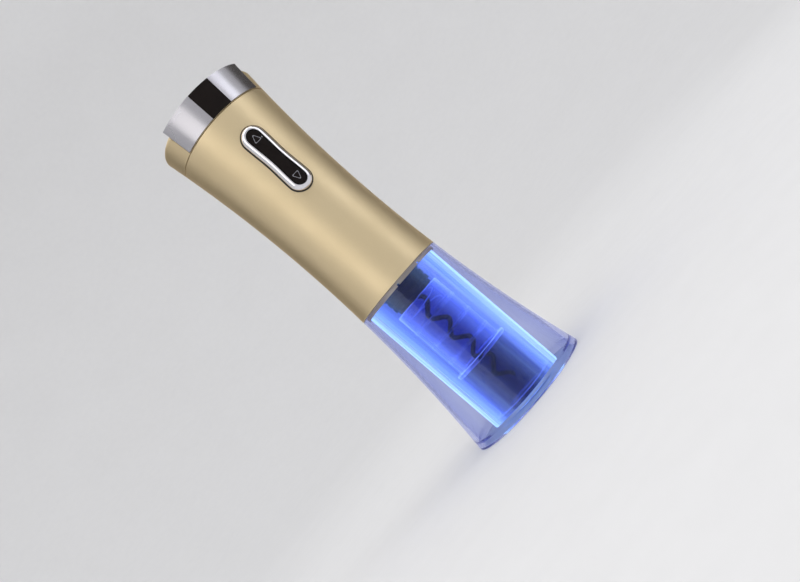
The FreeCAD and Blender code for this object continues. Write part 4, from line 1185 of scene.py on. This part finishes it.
@dataclass
class Drill:
    """The worm, its collar, and the stepped housing that it turns in."""

    orbit: float = 3.05
    wire: float = 1.3
    pitch: float = 14.6
    start: float = 13.0
    tip: float = 10.8
    top: float = 83.0
    points: int = 420
    collar: float = 4.4
    collar_bottom: float = 81.6
    collar_top: float = 92.0
    spring_orbit: float = 9.4
    spring_wire: float = 0.36
    spring_bottom: float = 66.5
    spring_top: float = 82.5
    spring_pitch: float = 5.6
    spring_lead: float = 0.5
    spindle_bore: float = 9.1
    cup_floor: float = 83.4
    cup_bore: float = 10.4
    cup_foot: float = 75.4
    skirt: float = 11.6
    skirt_top: float = 77.6
    cup: float = 12.7
    groove_heights: Point2 = (80.8, 84.6)
    groove_half: float = 0.6
    groove_floor: float = 0.4
    groove_depth: float = 0.6
    flange: float = 24.0
    flange_bottom: float = 90.0
    collar_steps: int = 64
    cup_steps: int = 160

    def build(self) -> None:
        """Builds the worm, its collar, the cork spring and the housing."""
        dress(self.thread(), WORM_COAT, Body.DRILL, "worm_coating", "worm")
        collar = lathe("worm_collar", rounded([
            (0.0, self.collar_bottom, 0.0), (self.collar, self.collar_bottom, 0.8),
            (self.collar, self.collar_top, 0.3), (0.0, self.collar_top, 0.0),
        ]), self.collar_steps)
        dress(collar, WORM_COAT, Body.DRILL, "worm_coating", "worm")
        # The spring's finish paints its blue highlights in as a glow.
        dress(self.spring(), SPRING_WIRE_PAINTED_GLOW, Body.OPENER, "steel")
        dress(self.housing(), DARK_PLASTIC, Body.OPENER, "dark_plastic", "spindle_housing")

    def thread(self) -> bpy.types.Object:
        """Winds the worm's wire and grinds its point.

        Returns:
            The worm.
        """
        return coil("worm_thread", WORM_COAT, {
            "Points": self.points, "Orbit": self.orbit * MM, "Wire": self.wire * MM, "Pitch": self.pitch * MM,
            "Start": self.start * MM, "Tip": self.tip * MM, "Top": self.top * MM, "Sides": 20, "Least": 0.05,
        })

    def spring(self) -> bpy.types.Object:
        """Winds the light spring that pushes the cork off the worm.

        Returns:
            The spring.
        """
        return coil("cork_spring", SPRING_WIRE_PAINTED_GLOW, {
            "Points": 160, "Orbit": self.spring_orbit * MM, "Wire": self.spring_wire * MM,
            "Pitch": self.spring_pitch * MM, "Start": self.spring_bottom * MM,
            "Tip": (self.spring_bottom - self.spring_lead) * MM, "Top": self.spring_top * MM, "Sides": 10,
            "Least": 1.0,
        })

    def housing(self) -> bpy.types.Object:
        """Builds the stepped cup that holds the spindle."""
        grooves = []
        for height in self.groove_heights:
            grooves += [
                (self.cup, height - self.groove_half, 0.3),
                (self.cup - self.groove_depth, height - self.groove_floor, 0.1),
                (self.cup - self.groove_depth, height + self.groove_floor, 0.1),
                (self.cup, height + self.groove_half, 0.3),
            ]
        return lathe("spindle_housing_cup", rounded([
            (self.spindle_bore, self.cup_floor, 0.2), (self.cup_bore, self.cup_floor, 0.2),
            (self.cup_bore, self.cup_foot, 0.3), (self.skirt, self.cup_foot, 0.5),
            (self.skirt, self.skirt_top, 0.3), (self.cup, self.skirt_top, 0.5), *grooves,
            (self.cup, self.flange_bottom, 0.6),
            (self.flange, self.flange_bottom, 0.4), (self.flange, self.collar_top, 0.3),
            (self.spindle_bore, self.collar_top, 0.3),
        ], 4), self.cup_steps)


# ---------------------------------------------------------------- cap and foil cutter


@dataclass
class Top:
    """The battery cap and the foil cutter that sits in it: two chrome arms and a gloss black bridge."""

    def build(self) -> None:
        """Dresses the cap and the cutter's pieces."""
        for node, name, finish, body, slot in (
            ("battery_cap", "battery_cap_satin", CHAMPAGNE, Body.CAP, "champagne_metal"),
            ("cutter_bridge", "cutter_bridge_gloss", BLACK_GLOSS, Body.CUTTER, "black_gloss"),
            # The arms take the darker, shaded copy of the chrome.
            ("left_arm", "left_arm_chrome", CHROME_SHADED_COPY, Body.LEFT_JAW, "polished_chrome"),
            ("right_arm", "right_arm_chrome", CHROME_SHADED_COPY, Body.RIGHT_JAW, "polished_chrome"),
        ):
            dress(from_cad(node, name), finish, body, slot, node)


# ---------------------------------------------------------------- CAD nodes that stay


def dress_frame() -> None:
    """Gives every CAD node that still shows the finish of its slot."""
    for name, node in sorted(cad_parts.items()):
        if node.hide_render:
            continue
        for place in node.material_slots:
            wanted = place.material.name.split(".")[0]
            place.material = SLOT_FINISH[wanted].material()
        LOG.info("%s: kept from the frame", name)


# ---------------------------------------------------------------- studio


@dataclass(frozen=True)
class Panel:
    """A soft rectangular light that looks at the opener's middle.

    Attributes:
        name: Name of the light.
        azimuth: Degrees round from the front, positive to the right.
        elevation: Degrees above the floor.
        reach: Distance in millimetres.
        width: Width in millimetres.
        height: Height in millimetres.
        watts: Power.
        tint: Colour.
    """

    name: str
    azimuth: float
    elevation: float
    reach: float
    width: float
    height: float
    watts: float
    tint: Colour

    def stand(self, middle: Vector) -> None:
        """Stands the light in the studio.

        Args:
            middle: The place that it looks at, in metres.
        """
        lamp = bpy.data.lights.new(self.name, "AREA")
        lamp.shape = "RECTANGLE"
        lamp.size, lamp.size_y = self.width * MM, self.height * MM
        lamp.energy = self.watts
        lamp.color = self.tint
        holder = add_object(self.name, lamp)
        holder.visible_camera = False
        a, e = math.radians(self.azimuth), math.radians(self.elevation)
        away = Vector((math.sin(a) * math.cos(e), -math.cos(a) * math.cos(e), math.sin(e)))
        holder.location = middle + away * self.reach * MM
        holder.rotation_euler = (-away).to_track_quat("-Z", "Y").to_euler()


@dataclass
class Studio:
    """The pale bowl that the opener stands in, the soft lights and the camera."""

    panels: tuple[Panel, ...] = (
        Panel("key_light", -45.0, 24.0, 900.0, 560.0, 800.0, 1.35, (1.0, 0.97, 0.93)),
        Panel("fill_light", 54.0, 24.0, 900.0, 300.0, 800.0, 1.0, (0.93, 0.95, 1.0)),
        Panel("top_light", 10.0, 75.0, 1000.0, 700.0, 700.0, 1.5, (1.0, 1.0, 1.0)),
    )
    middle_height: float = 120.0
    air_tint: Colour = (0.96, 0.97, 1.0)
    air_strength: float = 1.30
    floor_flat: float = 900.0
    floor_wall: float = 2400.0
    floor_top: float = 2300.0
    floor_sink: float = 0.02
    floor_bends: int = 24
    floor_steps: int = 96
    camera_reach: float = 452.0
    camera_height: float = 66.6
    camera_azimuth: float = -15.3
    aim_left: float = 0.00619266
    aim_up: float = 0.04013761
    roll: float = 49.36
    lens: float = 39.24
    flag_swing: float = 122.0
    flag_reach: float = 700.0
    flag_half: float = 280.0
    flag_height: float = 900.0
    flag_thickness: float = 4.0
    sensor: float = 36.0
    clip: Point2 = (0.01, 20.0)

    def build(self) -> None:
        """Sets up the floor, the lights, the world and the camera."""
        floor = self.bowl()
        floor.data.materials.append(FLOOR_PALE.material())
        self.world()
        for panel in self.panels:
            panel.stand(Vector((0.0, 0.0, self.middle_height * MM)))
        for side in (-1.0, 1.0):
            self.flag(side)
        self.camera()
        bpy.context.scene.view_settings.view_transform = "Standard"

    def bowl(self) -> bpy.types.Object:
        """Makes a wide floor that curves up into a wall all round."""
        flat, steps = self.floor_flat, self.floor_steps
        rise = self.floor_wall - flat
        bends = [math.pi / 2 * k / self.floor_bends for k in range(1, self.floor_bends + 1)]
        profile = [(0.0, 0.0), (flat, 0.0)]
        profile += [(flat + rise * math.sin(a), rise * (1 - math.cos(a))) for a in bends]
        profile.append((self.floor_wall, self.floor_top))
        points, faces = [], []
        for j in range(steps):
            angle = TURN * j / steps
            points += [(r * math.cos(angle), r * math.sin(angle), z - self.floor_sink) for r, z in profile]
        count = len(profile)
        for j in range(steps):
            k = (j + 1) % steps
            faces += [(j * count + i, k * count + i, k * count + i + 1, j * count + i + 1)
                      for i in range(count - 1)]
        bowl = shell_mesh("studio_bowl", points, faces, 60.0)
        bowl.data.flip_normals()
        return bowl

    def world(self) -> None:
        """Sets an even soft light from all round."""
        world = bpy.data.worlds.new("studio_air")
        world.use_nodes = True
        air = world.node_tree.nodes["Background"]
        air.inputs["Color"].default_value = (*self.air_tint, 1.0)
        air.inputs["Strength"].default_value = self.air_strength
        bpy.context.scene.world = world

    def flag(self, side: float) -> None:
        """Stands a dark card behind the opener, to one side, where only its satin and chrome catch it.

        Args:
            side: -1 for the left, 1 for the right.
        """
        around = math.radians(self.camera_azimuth + side * self.flag_swing)
        away = Vector((math.sin(around), -math.cos(around), 0.0))
        across = Vector((-away.y, away.x, 0.0)) * self.flag_half
        foot = away * self.flag_reach
        thick = away * self.flag_thickness
        corners = ((-1, 0.0), (1, 0.0), (1, self.flag_height), (-1, self.flag_height))
        points = [tuple(foot + across * u + thick * w + Vector((0, 0, z))) for w in (0, 1) for u, z in corners]
        faces = [(0, 1, 2, 3), (7, 6, 5, 4), (0, 4, 5, 1), (1, 5, 6, 2), (2, 6, 7, 3), (3, 7, 4, 0)]
        card = shell_mesh("studio_flag_left" if side < 0 else "studio_flag_right", points, faces)
        card.data.materials.append(FLAG_CLOTH.material())
        card.visible_camera = card.visible_diffuse = card.visible_shadow = card.visible_transmission = False

    def camera(self) -> None:
        """Sets the camera, rolled so that the opener leans to the upper left."""
        a, roll = math.radians(self.camera_azimuth), math.radians(self.roll)
        stand = Vector((math.sin(a), -math.cos(a), 0.0)) * self.camera_reach + Vector((0, 0, self.camera_height))
        ahead = Vector((-math.sin(a), math.cos(a), 0.0))
        up = Vector((0.0, 0.0, 1.0))
        right = ahead.cross(up)
        look = (ahead - right * self.aim_left + up * self.aim_up).normalized()
        level = look.cross(up).normalized()
        rise = level.cross(look)
        top = level * math.sin(roll) + rise * math.cos(roll)
        side = level * math.cos(roll) - rise * math.sin(roll)
        data = bpy.data.cameras.new("camera")
        data.lens = self.lens
        data.sensor_width = self.sensor
        data.clip_start, data.clip_end = self.clip
        camera = add_object("camera", data)
        turn = Matrix((side, top, -look)).transposed().to_4x4()
        camera.matrix_world = Matrix.Translation(stand * MM) @ turn
        bpy.context.scene.camera = camera


def main() -> None:
    """Builds the opener piece by piece, then the studio."""
    logging.basicConfig(level=logging.INFO, format="%(name)s: %(message)s")
    for part in (Studio(), BodyShell(), Button(), ClearSection(), Drill(), Top()):
        LOG.info("building %s", type(part).__name__)
        part.build()
    dress_frame()


if __name__ == "__main__":
    main()
